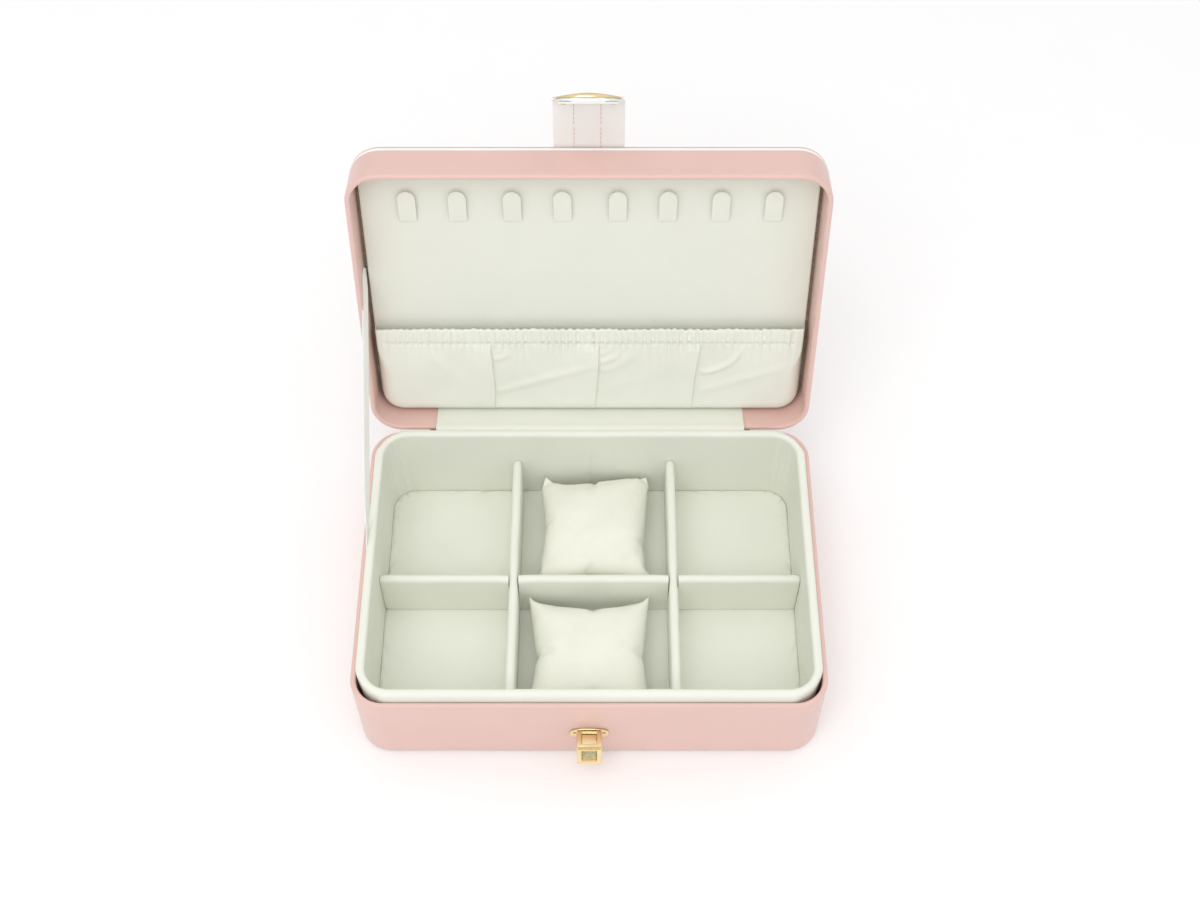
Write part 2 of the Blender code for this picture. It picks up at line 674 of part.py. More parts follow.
# --- the whole box -----------------------------------------------------------------------
def build():
    """Model every piece of the box."""
    reset_scene()
    base_shell()
    base_lining()
    dividers()
    compartment = DEPTH / 4 - 0.002
    watch_pillow("watch_pillow_back", GRID_SHIFT + 0.0020, compartment - 0.0008)
    watch_pillow("watch_pillow_front", GRID_SHIFT - 0.0026, -compartment + 0.0008)
    latch()
    hinge = hinge_empty("lid_hinge_axis", None, (0.0, DEPTH / 2, BASE_HEIGHT), -LID_OPEN_DEG)
    lid_shell(hinge)
    lid_lining(hinge)
    necklace_tabs(hinge)
    pocket(hinge)
    hinge_leathers(hinge)
    ribbon_stay()
    strap(hinge)


build()
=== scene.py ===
import itertools
import math

import bmesh
import bpy
import numpy as np
from mathutils import Matrix, Vector, noise


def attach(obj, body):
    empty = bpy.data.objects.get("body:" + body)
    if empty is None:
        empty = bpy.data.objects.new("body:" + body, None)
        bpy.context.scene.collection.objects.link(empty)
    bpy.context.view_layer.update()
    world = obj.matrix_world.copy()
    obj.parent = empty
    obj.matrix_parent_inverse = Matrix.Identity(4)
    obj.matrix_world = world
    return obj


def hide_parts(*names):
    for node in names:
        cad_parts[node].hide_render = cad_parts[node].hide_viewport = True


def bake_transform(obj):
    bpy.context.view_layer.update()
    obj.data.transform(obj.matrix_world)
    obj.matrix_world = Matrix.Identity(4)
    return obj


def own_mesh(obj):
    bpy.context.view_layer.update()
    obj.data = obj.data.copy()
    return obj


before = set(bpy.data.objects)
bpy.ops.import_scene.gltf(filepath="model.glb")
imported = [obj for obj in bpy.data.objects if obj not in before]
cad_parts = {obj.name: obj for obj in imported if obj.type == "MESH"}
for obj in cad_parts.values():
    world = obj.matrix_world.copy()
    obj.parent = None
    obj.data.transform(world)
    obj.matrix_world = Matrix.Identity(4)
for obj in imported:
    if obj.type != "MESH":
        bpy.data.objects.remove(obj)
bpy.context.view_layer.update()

# --- sizes of the box, in metres, as the CAD has them ---
HALF_X, HALF_Y, CORNER = 0.130, 0.090, 0.018
RIM_Z = 0.060
SKIN = 0.0008
LID_OPEN = math.radians(103.3)
CLASP_BEND = math.radians(59.0)
FOLD_U, FOLD_W = 0.18035, 0.0275
CLASP_S = 0.0263
STRAP_MID = 0.0034  # the strap's middle above its fold line
STRAP_HALF, STRAP_THICK = 0.01915, 0.0017
SLOT_S = 0.0616 - CLASP_S  # the middle of the clasp's slot, past the clasp's bend
DIVIDER_X = (-0.0442, 0.0484)
DIVIDER_LOW, DIVIDER_HIGH = 0.0075, 0.0420
LINER_INNER = (0.1218, 0.0818, 0.0138)
PANEL = (0.125, 0.08625, 0.013)  # half width, half length, corner
PANEL_MIDDLE_U = 0.09025
PANEL_FACE_W, PANEL_BACK_W = 0.0190, 0.0206
POCKET_HALF, POCKET_FOOT_U, POCKET_TOP_U, HEM_U = 0.1242, 0.0045, 0.0670, 0.0585
POCKET_CORNER = 0.0125
POCKET_FRONT_W, POCKET_BACK_W = 0.0092, 0.0186
PLEATS = (-0.0583, 0.0035, 0.0635)
TAB_PITCH, TAB_HALF_WIDTH, TAB_FOOT_U, TAB_TIP_U = 0.0287, 0.00495, 0.1395, 0.1590
PILLOW_CUT = (35, 39)  # points across and along one sheet of a pillow

LID = Matrix.Translation((0, HALF_Y, RIM_Z)) @ Matrix.Rotation(-LID_OPEN, 4, "X")
FOLD = LID @ Matrix.Translation((0, -FOLD_U, FOLD_W))
CLASP = FOLD @ Matrix.Translation((0, -CLASP_S, STRAP_MID)) @ Matrix.Rotation(CLASP_BEND, 4, "X")


# --- materials ---
class Look:
    """A Principled material with helpers for its node tree."""

    def __init__(self, name, roughness, metallic=0.0, **sockets):
        self.material = bpy.data.materials.new(name)
        self.material.use_nodes = True
        self.tree = self.material.node_tree
        self.shader = self.tree.nodes["Principled BSDF"]
        self.shader.inputs["Roughness"].default_value = roughness
        self.shader.inputs["Metallic"].default_value = metallic
        for socket, value in sockets.items():
            self.shader.inputs[socket.replace("_", " ")].default_value = value
        self.coords = self.tree.nodes.new("ShaderNodeTexCoord").outputs["Object"]
        self.normal = None

    def link(self, source, target):
        self.tree.links.new(source, target)

    def node(self, kind, **sockets):
        made = self.tree.nodes.new("ShaderNode" + kind)
        for socket, value in sockets.items():
            made.inputs[socket.replace("_", " ")].default_value = value
        return made

    def texture(self, kind, coords, **sockets):
        made = self.node(kind, **sockets)
        self.link(coords, made.inputs["Vector"])
        return made

    def noise(self, scale, detail=3.0, stretch=None):
        """Noise output, from 0 to 1, over object coordinates."""
        coords = self.coords
        if stretch is not None:
            coords = self.texture("Mapping", coords, Scale=stretch).outputs["Vector"]
        return self.texture("TexNoise", coords, Scale=scale, Detail=detail).outputs["Fac"]

    def cells(self, scale):
        """Distance to the nearest cell centre."""
        node = self.texture("TexVoronoi", self.coords, Scale=scale)
        node.feature = "SMOOTH_F1"
        node.inputs["Smoothness"].default_value = 0.35
        return node.outputs["Distance"]

    def bands(self, direction, scale, distortion=0.6):
        """Parallel waves across one axis."""
        node = self.texture("TexWave", self.coords, Scale=scale, Distortion=distortion)
        node.bands_direction = direction
        return node.outputs["Fac"]

    def colour(self, source, dark, light, low=0.3, high=0.7):
        """Base colour between two tones."""
        tones = self.node("ValToRGB")
        for stop, place, tone in zip(tones.color_ramp.elements, (low, high), (dark, light)):
            stop.position = place
            stop.color = (*tone, 1)
        self.link(source, tones.inputs["Fac"])
        self.link(tones.outputs["Color"], self.shader.inputs["Base Color"])

    def roughness(self, source, low, high):
        node = self.node("MapRange", To_Min=low, To_Max=high)
        self.link(source, node.inputs["Value"])
        self.link(node.outputs["Result"], self.shader.inputs["Roughness"])

    def bump(self, source, depth, strength=1.0):
        """Add a layer of bump, depth in metres."""
        node = self.node("Bump", Strength=strength, Distance=depth)
        self.link(source, node.inputs["Height"])
        if self.normal:
            self.link(self.normal, node.inputs["Normal"])
        self.normal = node.outputs["Normal"]
        self.link(self.normal, self.shader.inputs["Normal"])


def shade(colour, factor):
    return tuple(min(1.0, c * factor) for c in colour)


def leather(name, colour, roughness, grain=1.0, contrast=0.02):
    """Grained artificial leather: fine cells, finer pores and a slow change of tone."""
    look = Look(name, roughness)
    look.colour(look.noise(28, 4), shade(colour, 1 - contrast), shade(colour, 1 + contrast))
    look.roughness(look.noise(160, 3), roughness - 0.05, roughness + 0.07)
    look.bump(look.noise(45, 3), 0.00025 * grain, 0.5)
    look.bump(look.cells(1150), 0.00007 * grain, 0.6)
    look.bump(look.noise(3600, 2), 0.00002 * grain, 0.5)
    return look.material


def velvet(name, colour):
    """Short pile with a soft sheen and brushed patches."""
    look = Look(name, 0.95, Sheen_Weight=0.35, Sheen_Roughness=0.45)
    look.colour(look.noise(70, 5), shade(colour, 0.965), shade(colour, 1.025))
    look.bump(look.noise(60, 3), 0.0004, 0.35)
    look.bump(look.noise(2600, 3, (1.0, 0.55, 1.0)), 0.00012, 0.8)
    return look.material


def woven(name, colour, roughness=0.85, threads=560):
    """Plain-woven cloth with crossing threads."""
    look = Look(name, roughness, Sheen_Weight=0.15)
    look.colour(look.noise(40, 4), shade(colour, 0.975), shade(colour, 1.02))
    look.bump(look.bands("X", threads), 0.00003, 0.5)
    look.bump(look.bands("Z", threads), 0.00003, 0.5)
    look.bump(look.noise(900, 3), 0.00005, 0.4)
    return look.material


def metal(name, colour, roughness, depth=0.00001):
    """Polished plating with faint orange-peel and handling marks."""
    look = Look(name, roughness, metallic=1.0)
    look.colour(look.noise(90, 3), shade(colour, 0.96), shade(colour, 1.04))
    look.roughness(look.noise(500, 4), roughness * 0.75, roughness * 1.4)
    look.bump(look.noise(320, 2), depth, 0.5)
    return look.material


def pressed_metal(name, colour):
    """Cast panel with a fine diagonal tooling."""
    look = Look(name, 0.32, metallic=1.0)
    look.colour(look.noise(1400, 4), shade(colour, 0.55), shade(colour, 1.05), 0.35, 0.6)
    look.bump(look.bands("DIAGONAL", 420, 2.5), 0.00012, 0.8)
    look.bump(look.noise(1500, 4), 0.0001, 0.8)
    return look.material


def raw_board(name):
    """Grey board with loose fibres."""
    look = Look(name, 0.92)
    look.colour(look.noise(400, 6), (0.33, 0.27, 0.20), (0.50, 0.43, 0.33))
    look.bump(look.noise(1200, 4), 0.00008, 0.6)
    return look.material


PINK = (0.780, 0.530, 0.475)
IVORY = (0.830, 0.845, 0.755)
WHITE = (0.940, 0.950, 0.925)
CREAM = (0.850, 0.858, 0.750)
GOLD = (0.88, 0.70, 0.40)

LOOKS = {
    "pink": leather("pink_leather", PINK, 0.31, 0.8),
    "ivory": leather("ivory_leather", IVORY, 0.55, 0.8, 0.015),
    "panel": leather("ivory_lining", shade(IVORY, 0.985), 0.60, 1.0, 0.012),
    "white": leather("white_leather", WHITE, 0.38, 0.6, 0.012),
    "piping": leather("white_piping", WHITE, 0.40, 0.5, 0.012),
    "velvet": velvet("cream_velvet", CREAM),
    "cloth": woven("pocket_cloth", (0.855, 0.865, 0.775)),
    "ribbon": woven("satin_ribbon", WHITE, 0.45, 900),
    "elastic": woven("elastic_band", WHITE, 0.8, 300),
    "thread": woven("pink_thread", (0.80, 0.50, 0.45), 0.7, 1500),
    "gold": metal("pale_gold", GOLD, 0.17),
    "gold_dark": pressed_metal("tooled_gold", (0.62, 0.58, 0.36)),
    "rivet": metal("rivet_gold", (0.40, 0.29, 0.14), 0.25),
    "bead": metal("bead_gold", (0.78, 0.52, 0.14), 0.20),
    "steel": metal("zinc_steel", (0.62, 0.62, 0.62), 0.32),
    "board": raw_board("grey_board"),
}


# --- mesh helpers ---
def piece(name, points, faces, look, sharp=40.0):
    """A mesh object from points and faces, with outward normals and smooth shading."""
    mesh = bpy.data.meshes.new(name)
    mesh.from_pydata([tuple(p) for p in points], [], faces)
    shell = bmesh.new()
    shell.from_mesh(mesh)
    bmesh.ops.recalc_face_normals(shell, faces=shell.faces)
    shell.to_mesh(mesh)
    shell.free()
    made = bpy.data.objects.new(name, mesh)
    bpy.context.scene.collection.objects.link(made)
    mesh.materials.append(LOOKS[look])
    return smoothed(made, sharp)


def smoothed(made, sharp=50.0):
    """Shade smooth, with edges over an angle in degrees kept sharp."""
    made.data.shade_smooth()
    made.data.set_sharp_from_angle(angle=math.radians(sharp))
    return made


def loft(name, rows, look, close_path=False, close_rows=True, sharp=40.0):
    """Quads over an array of rows. Open paths of closed rows get end caps."""
    rows = np.array(rows)
    count, width = rows.shape[:2]
    faces = []
    for i in range(count if close_path else count - 1):
        for j in range(width if close_rows else width - 1):
            a, b = i * width, ((i + 1) % count) * width
            k = (j + 1) % width
            faces.append((a + j, b + j, b + k, a + k))
    if close_rows and not close_path:
        faces.append(tuple(range(width)))
        faces.append(tuple((count - 1) * width + j for j in range(width)))
    return piece(name, rows.reshape(-1, 3), faces, look, sharp)


def settle(made, body, nodes=(), matrix=None):
    """Put a piece in the row frame and on its body, in place of its CAD nodes."""
    if matrix is not None:
        made.data.transform(matrix)
        made.data.update()
    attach(made, body)
    stand_for(made, nodes)
    return made


def stand_for(made, nodes):
    if nodes:
        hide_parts(*nodes)
    return made


def baked(made):
    """Apply every modifier of a piece."""
    bpy.context.view_layer.update()
    graph = bpy.context.evaluated_depsgraph_get()
    mesh = bpy.data.meshes.new_from_object(made.evaluated_get(graph))
    made.modifiers.clear()
    made.data = mesh
    return made


def carve(made, cutters):
    """Cut pieces away and remove them."""
    for cutter in cutters:
        modifier = made.modifiers.new("cut", "BOOLEAN")
        modifier.object = cutter
        modifier.solver = "EXACT"
    baked(made)
    for cutter in cutters:
        bpy.data.objects.remove(cutter)
    return made


def round_edges(made, width, segments=3, angle=35.0):
    modifier = made.modifiers.new("round", "BEVEL")
    modifier.width = width
    modifier.segments = segments
    modifier.limit_method = "ANGLE"
    modifier.angle_limit = math.radians(angle)
    return smoothed(baked(made))


def wave(points, scale, seed=0.0):
    """Smooth noise from -1 to 1 at an array of points."""
    flat = points.reshape(-1, points.shape[-1]) * scale
    if flat.shape[1] == 2:
        flat = np.column_stack((flat, np.zeros(len(flat))))
    shift = Vector((seed * 7.31, seed * 3.17, seed * 1.93))
    values = [noise.noise(Vector(p) + shift) for p in flat]
    return np.array(values).reshape(points.shape[:-1])


def bell(x, middle, width):
    return np.exp(-(((x - middle) / width) ** 2))


def ramp(x, start, end):
    """0 before start, 1 after end, smooth between."""
    t = np.clip((x - start) / (end - start), 0, 1)
    return t * t * (3 - 2 * t)


def arc(middle, radius, start, end, steps):
    """Points of an arc, in degrees, ends included."""
    angles = np.radians(np.linspace(start, end, steps + 1))
    return [(middle[0] + radius * math.cos(a), middle[1] + radius * math.sin(a)) for a in angles]


def refine(points, longest, closed=True):
    """Split the long runs of a section."""
    result = []
    ends = points[1:] + points[:1] if closed else points[1:]
    for a, b in zip(points, ends):
        count = max(1, math.ceil(math.dist(a, b) / longest))
        for k in range(count):
            result.append(tuple(p + (q - p) * k / count for p, q in zip(a, b)))
    if not closed:
        result.append(points[-1])
    return result


def round_path(half_x, half_y, radius, step=0.0016):
    """Points and outward normals round a rounded rectangle."""
    points, normals = [], []
    corners = ((1, 1, 0), (-1, 1, 90), (-1, -1, 180), (1, -1, 270))
    for side_x, side_y, start in corners:
        middle = (side_x * (half_x - radius), side_y * (half_y - radius))
        steps = max(8, round(radius * math.pi / 2 / step))
        for angle in np.radians(np.linspace(start, start + 90, steps + 1)):
            out = (math.cos(angle), math.sin(angle))
            normals.append(out)
            points.append((middle[0] + radius * out[0], middle[1] + radius * out[1]))
        run = 2 * ((half_x - radius) if start in (0, 180) else (half_y - radius))
        count = max(2, round(run / (step * 1.4)))
        along = (-out[1], out[0])
        last = points[-1]
        for k in range(1, count):
            points.append(tuple(p + q * run * k / count for p, q in zip(last, along)))
            normals.append(out)
    return np.array(points), np.array(normals)


def ring(path, section):
    """Rows of a section, as (distance inward, z), along a closed path."""
    points, normals = path
    section = np.array(section)
    flat = points[:, None, :] - normals[:, None, :] * section[None, :, 0, None]
    height = np.broadcast_to(section[None, :, 1], flat.shape[:2])
    return np.dstack((flat, height)).copy()


def edge_depth(x, y, half_x, half_y, radius):
    """Distance in from the edge of a rounded rectangle."""
    qx, qy = np.abs(x) - (half_x - radius), np.abs(y) - (half_y - radius)
    outside = np.hypot(np.maximum(qx, 0), np.maximum(qy, 0))
    return radius - outside - np.minimum(np.maximum(qx, qy), 0)


def round_grid(half_x, half_y, radius, columns, rows):
    """A grid over a rounded rectangle, finer towards its edge."""
    x = half_x * np.sin(np.linspace(-np.pi / 2, np.pi / 2, columns))
    y = half_y * np.sin(np.linspace(-np.pi / 2, np.pi / 2, rows))
    x, y = np.meshgrid(x, y, indexing="ij")
    dx, dy = np.abs(x) - (half_x - radius), np.abs(y) - (half_y - radius)
    corner = (dx > 0) & (dy > 0)
    reach = np.hypot(dx, dy)
    scale = np.where(corner, np.maximum(dx, dy) / np.where(reach > 0, reach, 1), 1.0)
    x = np.where(corner, np.sign(x) * (half_x - radius + dx * scale), x)
    y = np.where(corner, np.sign(y) * (half_y - radius + dy * scale), y)
    return x, y


def plate(name, x, y, top, bottom, look, sharp=60.0):
    """A closed plate of two sheets that meet at the grid's edge."""
    columns, rows = x.shape
    edge = np.ones((columns, rows), bool)
    edge[1:-1, 1:-1] = False
    upper = np.dstack((x, y, np.where(edge, (top + bottom) / 2, top)))
    lower = np.dstack((x, y, bottom))
    points = np.concatenate((upper.reshape(-1, 3), lower[~edge]))
    over = np.arange(columns * rows).reshape(columns, rows)
    under = over.copy()
    under[~edge] = range(columns * rows, len(points))
    faces = []
    for i in range(columns - 1):
        for j in range(rows - 1):
            a, b, c, d = (i, j), (i + 1, j), (i + 1, j + 1), (i, j + 1)
            faces.append([int(over[corner]) for corner in (a, b, c, d)])
            faces.append([int(under[corner]) for corner in (a, d, c, b)])
    return piece(name, points, faces, look, sharp)


def stacks(name, bodies, look):
    """Closed bodies in one mesh, each a stack of equal loops with its ends capped."""
    points, faces = [], []
    for loops in bodies:
        start, width = len(points), len(loops[0])
        for loop in loops:
            points += loop
        last = len(points) - width
        for row in range(start, last, width):
            for j in range(width):
                a, b = row + j, row + (j + 1) % width
                faces.append((a, b, b + width, a + width))
        faces.append(tuple(start + j for j in range(width)))
        faces.append(tuple(last + j for j in range(width)))
    return piece(name, points, faces, look, 180)


def rolled(depth, thickness, edge):
    """Height of a quarter-round edge: 0 at the rim, thickness once edge metres in."""
    t = np.clip(depth / edge, 0, 1)
    return thickness * np.sqrt(1 - (1 - t) ** 2)


# --- camera, light and floor ---
def studio():
    """The camera, a soft overhead light, a bright surround and the floor."""
    camera = bpy.data.objects.new("camera", bpy.data.cameras.new("camera"))
    camera.data.lens = 47.925
    camera.data.sensor_width = 36.0
    camera.location = (0.0059, -0.4523, 0.8501)
    camera.rotation_euler = (math.radians(33.7824), 0.0, 0.0)
    bpy.context.scene.collection.objects.link(camera)
    bpy.context.scene.camera = camera
    bpy.context.scene.view_settings.view_transform = "Standard"

    lamp = bpy.data.objects.new("key", bpy.data.lights.new("key", "AREA"))
    lamp.data.size = 1.2
    lamp.data.energy = 10.0
    lamp.location = (-0.25, -0.90, 1.75)
    aim = Vector((0.0, 0.0, 0.05)) - lamp.location
    lamp.rotation_euler = aim.to_track_quat("-Z", "Y").to_euler()
    bpy.context.scene.collection.objects.link(lamp)

    world = bpy.data.worlds.new("surround")
    bpy.context.scene.world = world
    world.use_nodes = True
    nodes, links = world.node_tree.nodes, world.node_tree.links
    coords = nodes.new("ShaderNodeTexCoord")
    split = nodes.new("ShaderNodeSeparateXYZ")
    tone = nodes.new("ShaderNodeValToRGB")
    for stop, place, grey in zip(tone.color_ramp.elements, (0.0, 0.75), (0.56, 0.97)):
        stop.position = place
        stop.color = (grey, grey, grey, 1)
    links.new(coords.outputs["Generated"], split.inputs["Vector"])
    links.new(split.outputs["Z"], tone.inputs["Fac"])
    links.new(tone.outputs["Color"], nodes["Background"].inputs["Color"])

    size = 40.0
    corners = [(-size, -size, 0), (size, -size, 0), (size, size, 0), (-size, size, 0)]
    LOOKS["floor"] = leather("pale_floor", (0.97, 0.97, 0.97), 0.85, 0.0, 0.003)
    floor = piece("floor", corners, [(0, 1, 2, 3)], "floor")
    floor.location.z = -0.0002


# --- base ---
def shell_section(low, high, reach, turn_end):
    """The leather's section: out under the edge, up the wall, over the rim and down inside."""
    inner = 0.0030
    section = [(reach, low)]
    section += arc((0.0020, low + 0.0020), 0.0020, 270, 180, 6)
    section += arc((0.0015, high - 0.0015), 0.0015, 180, 90, 8)
    section += arc((inner - 0.0012, high - 0.0012), 0.0012, 90, 0, 6)
    section += [(inner, turn_end), (inner - 0.0006, turn_end), (inner - 0.0006, high - SKIN)]
    section += [(SKIN, high - SKIN), (SKIN, low + SKIN), (reach, low + SKIN)]
    return refine(section, 0.004)


def soften(rows, amount, seed):
    """Push a shell's points a little in and out, as leather over board lies."""
    shift = wave(rows, 22.0, seed) * amount
    lift = wave(rows, 14.0, seed + 3) * amount
    outward = rows[..., :2] / np.linalg.norm(rows[..., :2], axis=-1, keepdims=True)
    rows[..., :2] += outward * shift[..., None]
    rows[..., 2] += lift * ramp(rows[..., 2], 0.01, 0.05)
    return rows


def base_leather():
    path = round_path(HALF_X, HALF_Y, CORNER)
    rows = soften(ring(path, shell_section(0.0009, RIM_Z, 0.014, 0.020)), 0.00012, 1)
    settle(loft("base_leather", rows, "pink", close_path=True), "base", ["base_leather_wrap"])


def liner():
    """The padded ring, with the creases of its corners and the seam of its back wall."""
    half_x, half_y, wall, foot, top = 0.126, 0.086, 0.0042, 0.0047, 0.067
    path = round_path(half_x, half_y, 0.018, 0.0009)
    crown = wall / 2
    section = [(0.0, foot)] + arc((crown, top - crown), crown, 180, 0, 14) + [(wall, foot)]
    section = np.array(refine(section, 0.003))
    rows = ring(path, section)
    points, normals = path
    inside = ramp(section[:, 0], crown, wall)
    height = ramp(section[:, 1], 0.008, 0.014) * (1 - ramp(section[:, 1], 0.058, 0.0655))
    groove = np.zeros(len(points))
    for side in (-1, 1):
        for k, reach in enumerate((-0.0063, -0.0031, 0.0004, 0.0035, 0.0073)):
            middle = np.array((side * (half_x - 0.006 - reach), half_y - 0.006 + reach))
            near = np.linalg.norm(points - middle, axis=1)
            along = np.abs(near - near.min())
            groove += bell(along, 0.0, 0.00035) * (0.00045 if k % 2 else 0.0003)
    groove += bell(points[:, 0], 0.0008, 0.0006) * (points[:, 1] > 0) * 0.0005
    depth = groove[:, None] * inside[None, :] * height[None, :]
    puff = 0.00025 * wave(rows, 38.0, 5) * inside[None, :]
    slump = 0.00035 * wave(rows, 16.0, 6) * ramp(section[:, 1], 0.055, 0.067)[None, :]
    straight = ramp(np.abs(normals).max(axis=1), 0.90, 1.0)
    over_rim = ramp(section[:, 1], 0.040, 0.057) * (1 - ramp(section[:, 0], 0.0, crown))
    bulge = 0.00075 * straight[:, None] * over_rim[None, :]
    rows[..., :2] += normals[:, None, :] * (depth + puff + bulge)[..., None]
    rows[..., 2] += slump
    made = loft("wall_padding", rows, "ivory", close_path=True)
    settle(made, "base", ["base_liner"])


def floor_pad():
    """The padded floor, pressed down under the boards and pleated at its round corners."""
    clear = 0.00005
    half_x, half_y, radius = (value - clear for value in LINER_INNER)
    x, y = round_grid(half_x, half_y, radius, 150, 110)
    depth = edge_depth(x, y, half_x, half_y, radius)
    top = 0.0060 + rolled(depth, 0.0012, 0.0024)
    flat = np.dstack((x, y))
    top += 0.00012 * wave(flat, 30.0, 11) * ramp(depth, 0.001, 0.006)
    for divider in DIVIDER_X:
        top -= 0.0003 * bell(x, divider, 0.004)
    top -= 0.0003 * bell(y, 0.0, 0.004)
    reach_x, reach_y = np.abs(x) - half_x + 0.02, np.abs(y) - half_y + 0.02
    corner = np.hypot(np.maximum(reach_x, 0), np.maximum(reach_y, 0))
    angle = np.arctan2(reach_y, reach_x)
    pleats = np.maximum(np.sin(angle * 22.0), 0) ** 6
    top -= 0.0009 * pleats * ramp(corner, 0.008, 0.016) * (1 - ramp(depth, 0.0015, 0.005))
    bottom = np.full_like(top, 0.0048)
    made = plate("floor_padding", x, y, np.maximum(top, 0.0050), bottom, "ivory")
    settle(made, "base", ["base_floor_pad"])


def board(node, half_length, place, notches, lengthwise):
    """A padded board with a round top, pinched and notched where boards cross.

    A lengthwise board runs along Y and is notched from below, the cross board from above.
    """
    step, gap = 0.0016, 0.0029
    notch_above, notch_below = 0.0246, 0.02495
    stations = [(-half_length + step * k, 0) for k in range(int(2 * half_length / step) + 1)]
    stations = [s for s in stations if all(abs(s[0] - n) > gap + 0.0002 for n in notches)]
    for middle in notches:
        for side in (-1, 1):
            stations += [(middle + side * gap, 0), (middle + side * gap * 0.999, 1)]
    stations = sorted(stations) + [(half_length, 0)]
    rows = []
    for t, cut in stations:
        pinch = sum(math.exp(-(((t - n) / 0.0055) ** 2)) for n in notches)
        end = 1 - math.exp(-((half_length - abs(t)) / 0.0011))
        half = 0.0026 - 0.00055 * pinch * lengthwise
        half *= 0.72 + 0.28 * end
        high = DIVIDER_HIGH - 0.0009 * pinch - 0.0012 * (1 - end)
        low = DIVIDER_LOW
        if cut and lengthwise:
            low = notch_below
        elif cut:
            high = notch_above
        sway = 0.00035 * noise.noise(Vector((t * 24, place * 90, 3.0)))
        rise = 0.00030 * noise.noise(Vector((t * 30, place * 70, 9.0)))
        face = []
        for k in range(6):
            z = low + (high - half - low) * k / 6
            face.append((half + 0.00018 * math.sin(math.pi * k / 6), z))
        crown = [(p, q + rise) for p, q in arc((0, high - half), half, 0, 180, 12)]
        section = face + crown + [(-p, q) for p, q in reversed(face)]
        rows.append([(p + sway + place, t, q) for p, q in section])
    rows = np.array(rows)
    if not lengthwise:
        rows = rows[..., [1, 0, 2]]
    made = loft(node + "_padding", rows, "ivory", sharp=55.0)
    settle(made, "base", [node])


def dividers():
    board("divider_left", 0.0815, DIVIDER_X[0], (0.0,), True)
    board("divider_right", 0.0815, DIVIDER_X[1], (0.0,), True)
    board("divider_cross", 0.1215, 0.0, DIVIDER_X, False)


# --- pillows ---
def sheet_grid():
    """Where a sheet's points lie on its cut, from -1 to 1 both ways."""
    across, along = (np.linspace(-1, 1, count) for count in PILLOW_CUT)
    return np.meshgrid(across, along, indexing="ij")


def pillow_sheets(name, half_x, half_y, seed):
    """Two flat sheets sewn together along their edges, ten times the real size."""
    s, t = sheet_grid()
    x = half_x * s * (1 - 0.035 * (1 - t * t))
    y = half_y * t * (1 - 0.03 * (1 - s * s))
    lift = 0.004 + 0.02 * (1 - s**2) * (1 - t**2)
    flat = np.dstack((x, y))
    x = x + 0.006 * wave(flat, 4.0, seed)
    y = y + 0.006 * wave(flat, 4.0, seed + 1)
    return plate(name, x * 10, y * 10, lift * 4, -lift * 4, "velvet", 180)


def inflate(made, pressure, steps):
    """Blow the pillow up as cloth and keep its last shape."""
    modifier = made.modifiers.new("cloth", "CLOTH")
    cloth = modifier.settings
    cloth.quality = 6
    cloth.mass = 0.3
    cloth.tension_stiffness = cloth.compression_stiffness = 40
    cloth.tension_damping = cloth.compression_damping = 12
    cloth.shear_stiffness = 12
    cloth.bending_stiffness = 0.6
    cloth.use_pressure = True
    cloth.uniform_pressure_force = pressure
    cloth.effector_weights.gravity = 0.0
    modifier.collision_settings.use_collision = False
    modifier.point_cache.frame_end = steps
    for number in range(1, steps + 1):
        bpy.context.scene.frame_set(number)
    baked(made)
    bpy.context.scene.frame_set(1)


def cut_places():
    """Where a pillow's points lie on its cut: the top sheet, then the bottom one's inside."""
    return [np.concatenate((grid.ravel(), grid[1:-1, 1:-1].ravel())) for grid in sheet_grid()]


def pillow(which, size, middle, turn, seed, ears, hump):
    """A velvet watch pillow, blown up from two sheets, with its ears pulled up."""
    made = pillow_sheets(which + "_pillow", 0.042, 0.046, seed)
    inflate(made, 5.5, 26)
    points = np.array([v.co for v in made.data.vertices])
    low, high = points.min(axis=0), points.max(axis=0)
    points = (points - (low + high) / 2) / (high - low) * np.array(size)
    s, t = cut_places()
    points[:, 0] *= 1 + 0.075 * (1 - t * t) + 0.04 * ramp(-t, 0.2, 1.0)
    points[:, 1] *= 1 + 0.03 * (1 - s * s)
    for side, lift in zip((-1, 1), ears):
        ear = np.clip(s * side, 0, 1) ** 4 * np.clip(t, 0, 1) ** 4
        points[:, 0] += 0.0012 * side * ear
        points[:, 1] += 0.45 * lift * ear
        points[:, 2] += lift * ear
    back = ramp(t, 0.45, 1.0)
    swell = ramp(s, -0.62, -0.05) * (1 - 0.6 * ramp(s, 0.65, 1.0))
    points[:, 1] += hump * swell * back
    points[:, 2] += 0.5 * hump * swell * back
    hem = 0.0009 * np.maximum(np.abs(s), np.abs(t)) ** 12
    points[:, 2] += 0.0004 * wave(points, 45.0, seed) + hem * wave(points, 150.0, seed + 2)
    points[:, 2] = np.maximum(points[:, 2], -size[2] / 2)
    for vertex, place in zip(made.data.vertices, points):
        vertex.co = place
    made.data.transform(Matrix.Translation(middle) @ Matrix.Rotation(math.radians(turn), 4, "Z"))
    modifier = made.modifiers.new("smooth", "SUBSURF")
    modifier.levels = modifier.render_levels = 1
    baked(made)
    made.data.shade_smooth()
    settle(made, "pillow_" + which, ["watch_pillow_" + which])


